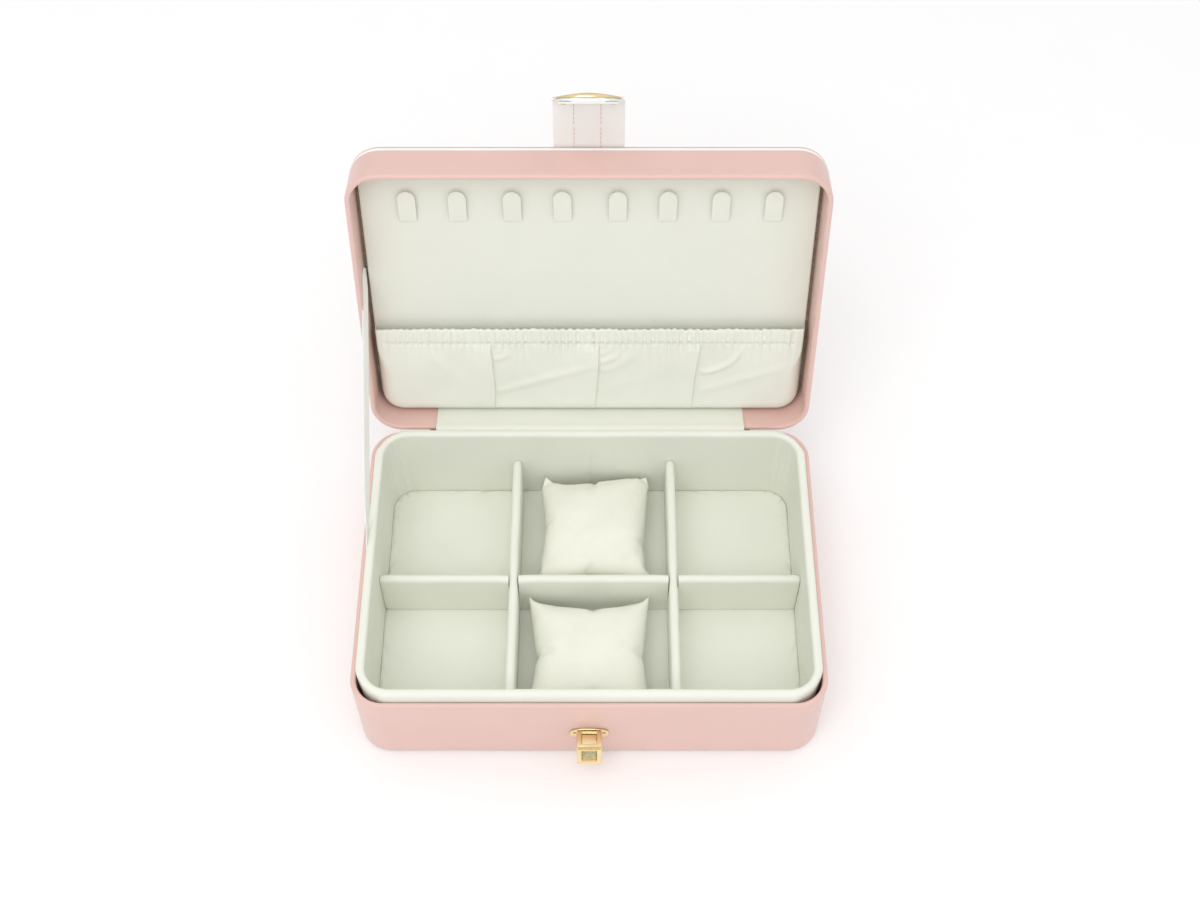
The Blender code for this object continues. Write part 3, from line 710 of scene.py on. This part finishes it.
def pillows():
    """Both pillows lie on the floor padding in the middle pair of compartments."""
    height = 0.0300
    rest = 0.0073 + height / 2
    size = (0.0660, 0.0725, height)
    pillow("back", size, (0.0036, 0.0415, rest), -1.0, 21, (0.0060, 0.0035), 0.0036)
    size = (0.0700, 0.0740, height)
    pillow("front", size, (-0.0006, -0.0425, rest), 0.5, 34, (0.0058, 0.0052), 0.0)


# --- lid ---
def on_lid(rows):
    """Move rows made about the middle of the base to the lid's hinge frame."""
    rows[..., 1] -= HALF_Y
    return rows


def lid_leather():
    path = round_path(HALF_X, HALF_Y, CORNER)
    low, high = 0.0004, 0.0261
    section = [(p, low + high - q) for p, q in shell_section(low, high, 0.012, 0.0039)]
    rows = ring(path, section)
    shift = wave(rows, 22.0, 8) * 0.00012
    rows[..., :2] += path[1][:, None, :] * shift[..., None]
    made = loft("lid_leather", on_lid(rows), "pink", close_path=True)
    settle(made, "lid", ["lid_leather_wrap"], LID)


def lid_top():
    """The padded top panel and the cord round it."""
    inset = 0.0003
    half_x, half_y, radius = HALF_X - inset, HALF_Y - inset, CORNER - inset
    x, y = round_grid(half_x, half_y, radius, 90, 70)
    depth = edge_depth(x, y, half_x, half_y, radius)
    seam = 0.0286
    top = seam + rolled(depth, 0.0010, 0.0020)
    top += 0.00012 * wave(np.dstack((x, y)), 18.0, 4) * ramp(depth, 0.002, 0.01)
    top -= 0.0002 * ramp(np.abs(x), 0.021, 0.0195)
    bottom = seam - 0.0003 * ramp(depth, 0.0, 0.0012) - 0.0018 * ramp(depth, 0.0022, 0.0030)
    made = plate("top_padding", x, y - HALF_Y, np.minimum(top, 0.0297), bottom, "pink")
    settle(made, "lid", ["lid_top_panel"], LID)
    path = round_path(HALF_X, HALF_Y, CORNER)
    section = arc((0.00125, 0.0272), 0.00100, 0, 330, 11)
    rows = ring(path, section)
    rows[..., 2] += 0.00008 * wave(rows, 60.0, 2)
    made = loft("piping_cord", on_lid(rows), "piping", close_path=True, sharp=80.0)
    settle(made, "lid", ["lid_piping"], LID)


def tab_middle(index):
    """Where a tongue stands along the lid; three of them sit a little to the right."""
    return (index - 3.5) * TAB_PITCH + 0.0012 * (index in (0, 2, 4))


def lid_lining():
    """The lining panel: soft edges, a slow ripple, and a dimple at each tongue's slit."""
    half_x, half_y, radius = PANEL
    x, y = round_grid(half_x, half_y, radius, 150, 110)
    depth = edge_depth(x, y, half_x, half_y, radius)
    face = 0.0199 - rolled(depth, 0.0009, 0.0012)
    face += 0.00022 * wave(np.dstack((x, y)), 13.0, 15) * ramp(depth, 0.002, 0.02)
    u = PANEL_MIDDLE_U - y
    for index in range(8):
        slit = bell(u, TAB_FOOT_U - 0.0006, 0.0012) * bell(x, tab_middle(index), 0.0048)
        face += 0.00025 * slit
    face = np.maximum(face, PANEL_FACE_W)
    back = np.full_like(face, PANEL_BACK_W)
    made = plate("lining_panel", x, y - PANEL_MIDDLE_U, back, face, "panel")
    settle(made, "lid", ["lid_lining_panel"], LID)


def tab_rows(middle, lean, turn, swell):
    """Closed loops of one tongue from its foot to its round tip."""
    length = TAB_TIP_U - TAB_FOOT_U
    straight = length - TAB_HALF_WIDTH
    along = [straight * k / 9 for k in range(10)]
    along += [straight + TAB_HALF_WIDTH * math.sin(a) for a in np.radians(np.linspace(8, 88, 11))]
    rows = []
    for t in along:
        over = max(0.0, (t - straight) / TAB_HALF_WIDTH)
        half = TAB_HALF_WIDTH * math.sqrt(max(0.0, 1 - over * over))
        thick = 0.0005 * min(1.0, (length - t) / 0.0006 + 0.35)
        off = 0.0006 + t * math.tan(lean) + swell * math.sin(math.pi * min(1.0, t / length))
        loop = []
        for side in (1, -1):
            for k in range(-6, 7):
                a = math.sin(math.pi / 2 * k / 6) * side
                border = min(1.0, (half - abs(a) * half) / 0.0009)
                edge = math.sqrt(max(0.0, 1 - a * a * a * a))
                emboss = 0.00013 * (1 - border) if side > 0 else 0.0
                cup = 0.00025 * (a * half / TAB_HALF_WIDTH) ** 2
                loop.append((a * half, -side * (thick * edge + emboss) - off - cup, t))
        rows.append(loop)
    rows = np.array(rows)
    x, w, t = rows[..., 0], rows[..., 1], rows[..., 2]
    turned = x * math.cos(turn) + t * math.sin(turn)
    ahead = t * math.cos(turn) - x * math.sin(turn)
    return np.dstack((middle + turned, -TAB_FOOT_U - ahead, PANEL_FACE_W - 0.0001 + w))


def tabs():
    for index in range(8):
        drift = noise.noise(Vector((index * 1.7 + 0.4, 2.0, 0.0)))
        lean = math.radians(3.6 + 1.2 * noise.noise(Vector((index * 2.3, 5.0, 0.0))))
        middle = tab_middle(index) + 0.0003 * drift
        rows = tab_rows(middle, lean, math.radians(1.2 * drift), 0.0004)
        made = loft(f"necklace_tongue_{index + 1}", rows, "ivory", sharp=55.0)
        settle(made, "lid", [f"necklace_tab_{index + 1}"], LID)


def pocket_depth(x, u):
    """How far the pocket's cloth stands off the panel: gathers, pleats and soft wrinkles."""
    half, foot, radius = POCKET_HALF, POCKET_FOOT_U, POCKET_CORNER
    low = np.maximum(foot + radius - u, 0)
    side = np.maximum(np.abs(x) - half + radius, 0)
    straight = np.minimum(half - np.abs(x), u - foot)
    edge = np.where((side > 0) & (low > 0), radius - np.hypot(side, low), straight)
    near_hem = ramp(u, 0.030, HEM_U - 0.004)
    turn = 0.0085 - 0.0073 * near_hem
    stand = 0.0070 * np.sqrt(1 - (1 - np.clip(edge / turn, 0, 1)) ** 2)
    down = np.clip((HEM_U - u) / (HEM_U - foot), 0, 1)
    body = ramp(edge, 0.001, 0.010)
    across = np.dstack((x, 0 * u))

    drift = 0.0016 * wave(across, 90.0, 31)
    phase = 2 * np.pi * (x + drift) / 0.0043 + 1.2 * wave(np.dstack((x, u)), 60.0, 32)
    pucker = np.cos(phase) * (0.75 + 0.55 * wave(across, 110.0, 33))
    hanging = np.exp(-down / (0.09 + 0.05 * wave(across, 55.0, 38)))
    casing = 1 - 0.45 * ramp(u, HEM_U, POCKET_TOP_U)
    gathers = 0.0012 * pucker * hanging * casing
    seam = HEM_U - 0.0006 + 0.0004 * np.cos(phase)
    ditch = 0.0013 * bell(u, seam, 0.0008) * (0.8 - 0.5 * pucker)

    soft = 0.0
    fans = ((0.38, 0.62), (0.45, 0.74, 1.08), (1.20,))
    for middle, rings, pull in zip(PLEATS, fans, (0.8, 0.2, 0.5)):
        reach = np.hypot((x - middle) / 0.021, (HEM_U - u) / 0.019)
        beside = ramp(x, middle, middle + 0.004)
        for k, radius_k in enumerate(rings):
            soft = soft + (1.0 - 0.18 * k) * bell(reach, radius_k, 0.09 + 0.03 * k) * beside
        line = middle + 0.006 + (1.9 + pull) * (u - 0.022)
        soft = soft + pull * bell(x, line, 0.008) * bell(u, 0.030, 0.013) * beside
    soft = soft + 0.7 * bell(x, -0.098 + 0.7 * (HEM_U - u), 0.005) * bell(u, 0.044, 0.014)
    wrinkles = 0.0013 * soft + 0.0008 * wave(np.dstack((x, u * 0.6)), 38.0, 35)

    steps = 0.0
    for k, middle in enumerate(PLEATS):
        line = middle + 0.0016 * np.sin(down * 2.6 + k * 1.3) - 0.0012 * down * (k == 2)
        gap = x - line
        lip = np.where(gap < 0, np.exp(gap / 0.010), -0.55 * np.exp(-gap / 0.012))
        lip = np.where(np.abs(gap) < 0.00025, lip * np.abs(gap) / 0.00025, lip)
        steps = steps + 0.0018 * lip * ramp(down, 0.0, 0.12)
    folds = body * (gathers - ditch + wrinkles * ramp(down, 0.0, 0.25) + steps)
    return np.maximum(stand + folds, 0.0)


def pocket():
    """The gathered pocket: cloth up the front, over the elastic and down behind it."""
    columns = np.linspace(-POCKET_HALF, POCKET_HALF, 520)
    fine = [middle + 0.00022 * k for middle in PLEATS for k in range(-14, 15)]
    x_line = np.unique(np.round(np.concatenate((columns, fine)), 6))
    below, above = np.linspace(POCKET_FOOT_U, HEM_U, 56), np.linspace(HEM_U, POCKET_TOP_U, 14)
    x, u = np.meshgrid(x_line, np.concatenate((below, above[1:])), indexing="ij")
    over = np.maximum(np.abs(x) - POCKET_HALF + POCKET_CORNER, 0)
    lowest = POCKET_FOOT_U + POCKET_CORNER - np.sqrt(np.maximum(POCKET_CORNER**2 - over**2, 0))
    u = lowest + (u - POCKET_FOOT_U) * (POCKET_TOP_U - lowest) / (POCKET_TOP_U - POCKET_FOOT_U)
    ruffle = 0.0006 * wave(np.dstack((x, 0 * u)), 160.0, 37) * ramp(u, HEM_U, POCKET_TOP_U)
    w = POCKET_BACK_W - pocket_depth(x, u)
    rows = np.dstack((x, -(u + ruffle), w))

    edge = np.clip((POCKET_HALF - np.abs(x_line)) / 0.0012, 0, 1)
    back = []
    turn = ((0.35, 0.0004, 0.0), (0.75, 0.0012, 0.0), (1.0, 0.0019, 0.0))
    turn += ((1.0, 0.0019, 0.0020), (1.0, 0.0019, 0.0045), (1.0, 0.0019, 0.0068))
    for share, depth, reach in turn:
        lip = rows[:, -1].copy()
        lip[:, 1] += reach - 0.0005 * math.sin(math.pi * share) * edge
        lip[:, 2] += depth * edge
        back.append(lip)
    rows = np.concatenate((rows, np.stack(back, axis=1)), axis=1)
    rows[..., 2] = np.clip(rows[..., 2], POCKET_FRONT_W, POCKET_BACK_W)
    made = loft("pocket_cloth", rows, "cloth", close_rows=False, sharp=180.0)
    shell = made.modifiers.new("thickness", "SOLIDIFY")
    shell.thickness = 0.0004
    shell.offset = 0.0
    baked(made)
    made.data.shade_smooth()
    settle(made, "lid", ["lid_pocket"], LID)
    return made


# --- strips that bend: hinge leathers, strap and ribbon ---
def band(name, path, half_width, thickness, look):
    """A strip along a path of (y, z) points, with rounded edges."""
    path = np.array(path)
    run = np.gradient(path, axis=0)
    run /= np.linalg.norm(run, axis=1, keepdims=True)
    normal = np.column_stack((-run[:, 1], run[:, 0]))
    rows = []
    for (y, z), (ny, nz) in zip(path, normal):
        loop = []
        for side in (1, -1):
            for a in np.linspace(-1, 1, 13)[:-1] * side:
                inner = min(1.0, (1 - abs(a)) * half_width / (thickness * 0.5))
                t = side * thickness / 2 * math.sqrt(1 - (1 - inner) ** 2)
                loop.append((a * half_width, y + ny * t, z + nz * t))
        rows.append(loop)
    return loft(name, rows, look, sharp=60.0)


def polyline(points, step=0.0015):
    """Evenly spaced points along straight runs."""
    return refine([tuple(p) for p in points], step, closed=False)


def relaxed(path, passes):
    """Smooth a path of points, its ends held."""
    path = np.array(path)
    for _ in range(passes):
        path[1:-1] += 0.5 * ((path[:-2] + path[2:]) / 2 - path[1:-1])
    return path


def lid_point(y, w):
    p = LID @ Vector((0, y, w))
    return (p.y, p.z)


def about_hinge(start, end, near, far, shares, puff=0.0):
    """Points that turn about the hinge line, from angle start to end, radius near to far."""
    points = []
    for share in shares:
        angle = start + (end - start) * share
        radius = near + (far - near) * share + puff * math.sin(math.pi * share)
        points.append((HALF_Y + radius * math.cos(angle), RIM_Z + radius * math.sin(angle)))
    return points


def from_hinge(point):
    """Angle and distance of a point from the hinge line."""
    y, z = point[0] - HALF_Y, point[1] - RIM_Z
    return math.atan2(z, y), math.hypot(y, z)


def hinge_leathers():
    """The inner flap and the outer strip, whole, each bending at the hinge line."""
    inner = -0.0037
    lid_foot = lid_point(inner, 0.0016)
    angle, reach = from_hinge(lid_foot)
    flap = polyline([(HALF_Y + inner, 0.0385), (HALF_Y + inner, RIM_Z - 0.0002)])
    flap += about_hinge(math.pi, angle, -inner, reach, np.linspace(0.06, 0.94, 15), 0.0004)
    flap += polyline([lid_foot, lid_point(inner, 0.0184)])
    made = band("hinge_flap", relaxed(flap, 6), 0.092, 0.0004, "ivory")
    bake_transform(made)
    stand_for(made, ["hinge_flap_base", "hinge_flap_lid"])

    outer = 0.0007
    top = (HALF_Y + outer, 0.0576)
    lid_foot = lid_point(outer, 0.0022)
    angle, reach = from_hinge(lid_foot)
    strip = polyline([(HALF_Y + outer, 0.0445), top])
    strip += about_hinge(from_hinge(top)[0], angle, 0.0025, reach, np.linspace(0.12, 0.88, 7))
    strip += polyline([lid_foot, lid_point(outer, 0.0153)])
    made = band("hinge_strip", relaxed(strip, 2), 0.096, 0.0007, "pink")
    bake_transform(made)
    stand_for(made, ["hinge_strip_base", "hinge_strip_lid"])


def strap_path():
    """The strap's middle line in the fold's frame: (s, height), bent at the clasp."""
    tangent = 0.0040
    radius = tangent / math.tan(CLASP_BEND / 2)
    bend_s = CLASP_S - tangent
    path = polyline([(0.0130 - FOLD_U, STRAP_MID), (bend_s, STRAP_MID)], 0.002)
    for angle in np.linspace(0, CLASP_BEND, 12)[1:]:
        drop = radius * (1 - math.cos(angle))
        path.append((bend_s + radius * math.sin(angle), STRAP_MID - drop))
    last = path[-1]
    reach = 0.0465 - tangent
    end = (last[0] + reach * math.cos(CLASP_BEND), last[1] - reach * math.sin(CLASP_BEND))
    return path + polyline([last, end], 0.002)[1:]


def strap_run(name, path):
    """A run of the strap along points of its middle line."""
    made = band(name, [(-s, h) for s, h in path], STRAP_HALF, STRAP_THICK, "white")
    made.data.transform(FOLD)
    return made


def round_tip(made):
    """Narrow the strap's end to round corners."""
    radius = 0.012
    for vertex in made.data.vertices:
        local = CLASP.inverted() @ vertex.co
        over = -local.y - (0.0468 - radius)
        if over > 0:
            most = STRAP_HALF - radius + math.sqrt(max(0.0, radius**2 - over**2))
            local.x = local.x * most / STRAP_HALF
            vertex.co = CLASP @ local


def strap():
    """The long strap in two runs that meet end to end, and its stitches."""
    path = strap_path()
    split = min(range(len(path)), key=lambda k: abs(path[k][0] - 0.0125))
    long_run, short_run = path[: split + 1], path[split:]
    first = strap_run("strap_long", long_run)
    second = strap_run("strap_tip", short_run)
    round_tip(second)
    hole = slot_cutter()
    hole.data.transform(CLASP)
    smoothed(carve(second, [hole]))
    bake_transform(first)
    stand_for(first, ["lid_strap"])
    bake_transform(second)
    stand_for(second, ["strap_tab", "strap_end"])

    thread = stitches("strap_stitches_long", long_run)
    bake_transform(thread)
    before_plate = [p for p in short_run if p[0] < CLASP_S + 0.004]
    thread = stitches("strap_stitches_tip", before_plate)
    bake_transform(thread)


def stitches(name, path):
    """Two lines of short thread stitches on each face of the strap."""
    path = np.array([(-s, h) for s, h in path])
    length = np.concatenate(([0], np.cumsum(np.linalg.norm(np.diff(path, axis=0), axis=1))))
    pitch = 0.0027

    def place(distance):
        return np.array([np.interp(distance, length, path[:, axis]) for axis in (0, 1)])

    bodies = []
    for x in (-0.0080, 0.0064):
        for side in (1, -1):
            for k in range(int(length[-1] / pitch)):
                loops = []
                for share in (0.08, 0.25, 0.5, 0.75, 0.92):
                    y, z = place((k + share) * pitch)
                    ahead, climb = place((k + share) * pitch + 0.0005) - (y, z)
                    size = math.hypot(ahead, climb) or 1.0
                    ny, nz = -climb / size, ahead / size
                    if nz < 0 and abs(nz) > 0.2 or ny < 0 and abs(nz) <= 0.2:
                        ny, nz = -ny, -nz
                    bulge = math.sin(math.pi * share)
                    off = side * (0.00080 + 0.00014 * bulge)
                    radius = 0.00020 * (0.5 + 0.5 * bulge)
                    loop = arc((x, off), radius, 0, 300, 5)
                    loops.append([(p, y + ny * q, z + nz * q) for p, q in loop])
                bodies.append(loops)
    made = stacks(name, bodies, "thread")
    made.data.transform(FOLD)
    return made


def ribbon():
    """The ribbon stay, from the gap beside the liner up to the lid's left side."""
    foot = np.array((0.0085, 0.0640))
    u, w = 0.107, 0.0187
    head = np.array(lid_point(-u, w))
    run = (head - foot) / np.linalg.norm(head - foot)
    start = foot - run * 0.0115
    centres = polyline([start, head], 0.002)
    width, thick, x = 0.0080, 0.0003, -0.1265
    side = np.array((-run[1], run[0]))
    rows = []
    for k, centre in enumerate(centres):
        share = k / (len(centres) - 1)
        twist = math.radians(14) * min(1.0, max(0.0, share - 0.10) / 0.15, (1 - share) / 0.08)
        loop = []
        for face in (1, -1):
            for a in (-1.0, -0.96, -0.5, 0.0, 0.5, 0.96):
                out = a * face * width / 2
                p = np.array(centre) + side * out * math.cos(twist)
                edge = 1.25 if abs(a) > 0.9 else 1.0
                loop.append((x - out * math.sin(twist) + face * thick / 2 * edge, p[0], p[1]))
        rows.append(loop)
    made = loft("stay_ribbon", rows, "ribbon", sharp=60.0)
    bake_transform(made)
    stand_for(made, ["ribbon_stay"])


# --- metal ---
def box_piece(name, low, high, look="gold"):
    """A block between two corners, for cutting and for prisms."""
    points = list(itertools.product(*zip(low, high)))
    faces = [(0, 1, 3, 2), (4, 6, 7, 5), (0, 4, 5, 1), (2, 3, 7, 6), (0, 2, 6, 4), (1, 5, 7, 3)]
    return piece(name, points, faces, look)


def prism(name, outline, half, look="gold"):
    """An outline of (y, z) points, from -half to half along X."""
    count = len(outline)
    points = [(side * half, y, z) for side in (-1, 1) for y, z in outline]
    faces = [tuple(range(count)), tuple(range(count, 2 * count))]
    for k in range(count):
        j = (k + 1) % count
        faces.append((k, j, count + j, count + k))
    return piece(name, points, faces, look)


def slot_cutter():
    """The hole for the lock, through the strap's end and the plate behind it."""
    low, high = (-0.008, -SLOT_S - 0.00775, -0.004), (0.008, -SLOT_S + 0.00775, 0.004)
    return box_piece("slot_cutter", low, high)


def clasp_plate():
    """The slotted oval plate, domed in front and rounded at its edges, and its back plate."""
    middle = 0.0621 - CLASP_S
    profile = [(0.0, 0.12), (0.0, 0.75), (0.03, 0.93), (0.10, 1.0), (0.35, 1.0), (0.6, 0.93)]
    profile += [(0.8, 0.80), (0.92, 0.62), (0.98, 0.42), (1.0, 0.22), (0.985, 0.05), (0.95, 0.0)]
    profile += [(0.5, 0.0), (0.04, 0.0)]
    rows = []
    for angle in np.linspace(0, math.tau, 121)[:-1]:
        c, s = math.cos(angle), math.sin(angle)
        reach = (abs(c / 0.0081) ** 7 + abs(s / 0.0078) ** 7) ** (-1 / 7)
        inner = np.array((reach * c, reach * s - SLOT_S + middle))
        outer = np.array((0.0185 * c, 0.0120 * s * (1 - 0.14 * c**4)))
        base, thick = 0.0010, 0.0004 + 0.0022 * (1 - 0.85 * c * c)
        loop = []
        for share, rise in profile:
            p = inner + (outer - inner) * share
            loop.append((p[0], p[1] - middle, base + thick * rise))
        rows.append(loop)
    made = loft("clasp_front_plate", rows, "gold", close_path=True, sharp=70.0)
    settle(made, "clasp", ["clasp_plate"], CLASP)

    low, high = (-0.0150, -middle - 0.0105, -0.0018), (0.0150, -middle + 0.0105, -0.0012)
    backing = carve(box_piece("clasp_backing", low, high, "white"), [slot_cutter()])
    round_edges(backing, 0.00022)
    settle(backing, "clasp", ["clasp_back_plate"], CLASP)
    for name, side in (("clasp_rivet_left", -1), ("clasp_rivet_right", 1)):
        made = lathe(name + "_dome", 0.0017, 0.0005, "gold")
        turn = Matrix.Translation((side * 0.0125, -middle, -0.00185)) @ Matrix.Rotation(math.pi, 4, "X")
        settle(made, "clasp", [name], CLASP @ turn)


def lathe(name, radius, height, look):
    """A low rivet head about Z."""
    rows = []
    for angle in np.linspace(0, math.tau, 33)[:-1]:
        loop = [(0.0002, -0.0004), (0.65 * radius, -0.0004), (0.65 * radius, 0.0), (radius, 0.0)]
        loop += [(radius * math.cos(a), height * math.sin(a)) for a in np.radians((20, 40, 60, 80))]
        loop += [(0.0002, height * 0.995)]
        rows.append([(p * math.cos(angle), p * math.sin(angle), q) for p, q in loop])
    return loft(name, rows, look, close_path=True, sharp=50.0)


def latch_plate():
    """The wall plate with round lobes, and its two rivets."""
    wall, middle_z = -HALF_Y, 0.0276
    profile = [(0.05, 0.0), (0.97, 0.0), (1.0, 0.25), (0.995, 0.6), (0.97, 0.85), (0.92, 1.0)]
    profile += [(0.05, 1.0)]
    rows = []
    for angle in np.linspace(0, math.tau, 121)[:-1]:
        c, s = math.cos(angle), math.sin(angle)
        x = math.copysign(0.0108 * abs(c) ** 0.80, c)
        z = math.copysign(0.0058 * abs(s) ** 0.72, s)
        loop = []
        for share, rise in profile:
            loop.append((x * share, wall - 0.00025 - 0.0010 * rise, middle_z + z * share))
        rows.append(loop)
    made = loft("latch_plate", rows, "gold", close_path=True, sharp=60.0)
    settle(made, "base", ["latch_base_plate"])
    for name, side in (("latch_rivet_left", -1), ("latch_rivet_right", 1)):
        made = lathe(name + "_dome", 0.00085, 0.00030, "rivet")
        place = Matrix.Translation((side * 0.0082, wall - 0.00127, 0.0292))
        settle(made, "base", [name], place @ Matrix.Rotation(math.pi / 2, 4, "X"))


def latch():
    """The hollow lock with its sloped nose, the beading and the button inside it."""
    back, low, high, top_y, foot_y = -0.0915, 0.0200, 0.0327, -0.1010, -0.1066
    outline = [(back, low), (back, high), (top_y, high), (foot_y, low + 0.0014), (foot_y + 0.0010, low)]
    body = prism("lock_body", outline, 0.00705)
    round_edges(body, 0.00085, 2, 15.0)
    for vertex in body.data.vertices:
        vertex.co.x *= 1 - 0.05 * (high - vertex.co.z) / (high - low)
    cavity = [(back - 0.0010, low + 0.0015), (back - 0.0010, high - 0.0014)]
    cavity += [(top_y + 0.0012, high - 0.0014), (foot_y + 0.0018, low + 0.0015)]
    half = 0.0042
    top_window = (-half, top_y + 0.0019, high - 0.002), (half, back + 0.001, 0.036)
    front_window = (-half, -0.110, low + 0.0028), (half, -0.1005, high - 0.0027)
    cutters = [prism("cavity", cavity, 0.0043)]
    cutters += [box_piece("top_window", *top_window), box_piece("front_window", *front_window)]
    carve(body, cutters)
    round_edges(body, 0.00025, 2, 50.0)
    body.data.set_sharp_from_angle(angle=math.radians(24))
    settle(body, "base", ["latch_body"])
    beading(top_y - 0.00065, high - 0.0015)

    slope = (foot_y - top_y) / (high - low - 0.0014)
    foot, head = low + 0.0030, high - 0.0029
    nose_low = top_y + slope * (high - foot) + 0.0009
    nose_high = top_y + slope * (high - head) + 0.0009
    front, rear, panel = top_y + 0.0021, back - 0.0033, high - 0.0006
    outline = [(rear, foot), (rear, panel - 0.0009), (back - 0.0021, panel - 0.0009)]
    outline += [(back - 0.0021, panel), (front, panel), (front, head)]
    outline += [(nose_high, head), (nose_low, foot)]
    button = prism("lock_button", outline, 0.0040)
    round_edges(button, 0.00015, 2)
    button.data.materials.append(LOOKS["gold_dark"])
    for polygon in button.data.polygons:
        on_nose = polygon.center.y < front - 0.0004 and polygon.normal.y < -0.5
        polygon.material_index = 1 if on_nose and abs(polygon.normal.x) < 0.5 else 0
    settle(button, "button", ["latch_button"])


def spring():
    """The coil between the plate and the button."""
    turns, steps, radius, wire = 3, 20, 0.0014, 0.00022
    rear, front, middle_z = -0.0920, -0.0943, 0.02635
    rows = []
    for k in range(turns * steps + 1):
        angle = math.tau * k / steps
        y = rear + (front - rear) * k / (turns * steps)
        c, s = math.cos(angle), math.sin(angle)
        rows.append([(p * c, q, middle_z + p * s) for p, q in arc((radius, y), wire, 0, 315, 7)])
    made = loft("button_spring", rows, "steel", sharp=80.0)
    settle(made, "base", ["latch_spring"])
    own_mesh(made)


def beading(y, z):
    """A row of little beads across the lock, under its top front edge."""
    pitch, radius, count = 0.00098, 0.00056, 13
    beads = []
    for k in range(count):
        x = (k - (count - 1) / 2) * pitch
        loops = []
        for i in range(7):
            a = math.pi * (i + 0.5) / 7
            loop = arc((y, z), radius * math.sin(a), 0, 324, 9)
            loops.append([(x + radius * math.cos(a), p, q) for p, q in loop])
        beads.append(loops)
    settle(stacks("lock_beading", beads, "bead"), "base")


def kept_nodes():
    """Materials for the CAD nodes that stay as they are."""
    looks = {
        "base_frame_board": "board",
        "base_bottom_board": "board",
        "base_bottom_cover": "pink",
        "lid_frame_board": "board",
        "lid_lining_foam": "elastic",
        "pocket_elastic": "elastic",
        "latch_back_plate": "steel",
    }
    for name, look in looks.items():
        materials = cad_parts[name].data.materials
        materials.clear()
        materials.append(LOOKS[look])


studio()
base_leather()
liner()
floor_pad()
dividers()
pillows()
lid_leather()
lid_top()
lid_lining()
tabs()
cloth = pocket()
hinge_leathers()
strap()
ribbon()
clasp_plate()
latch_plate()
latch()
spring()
kept_nodes()
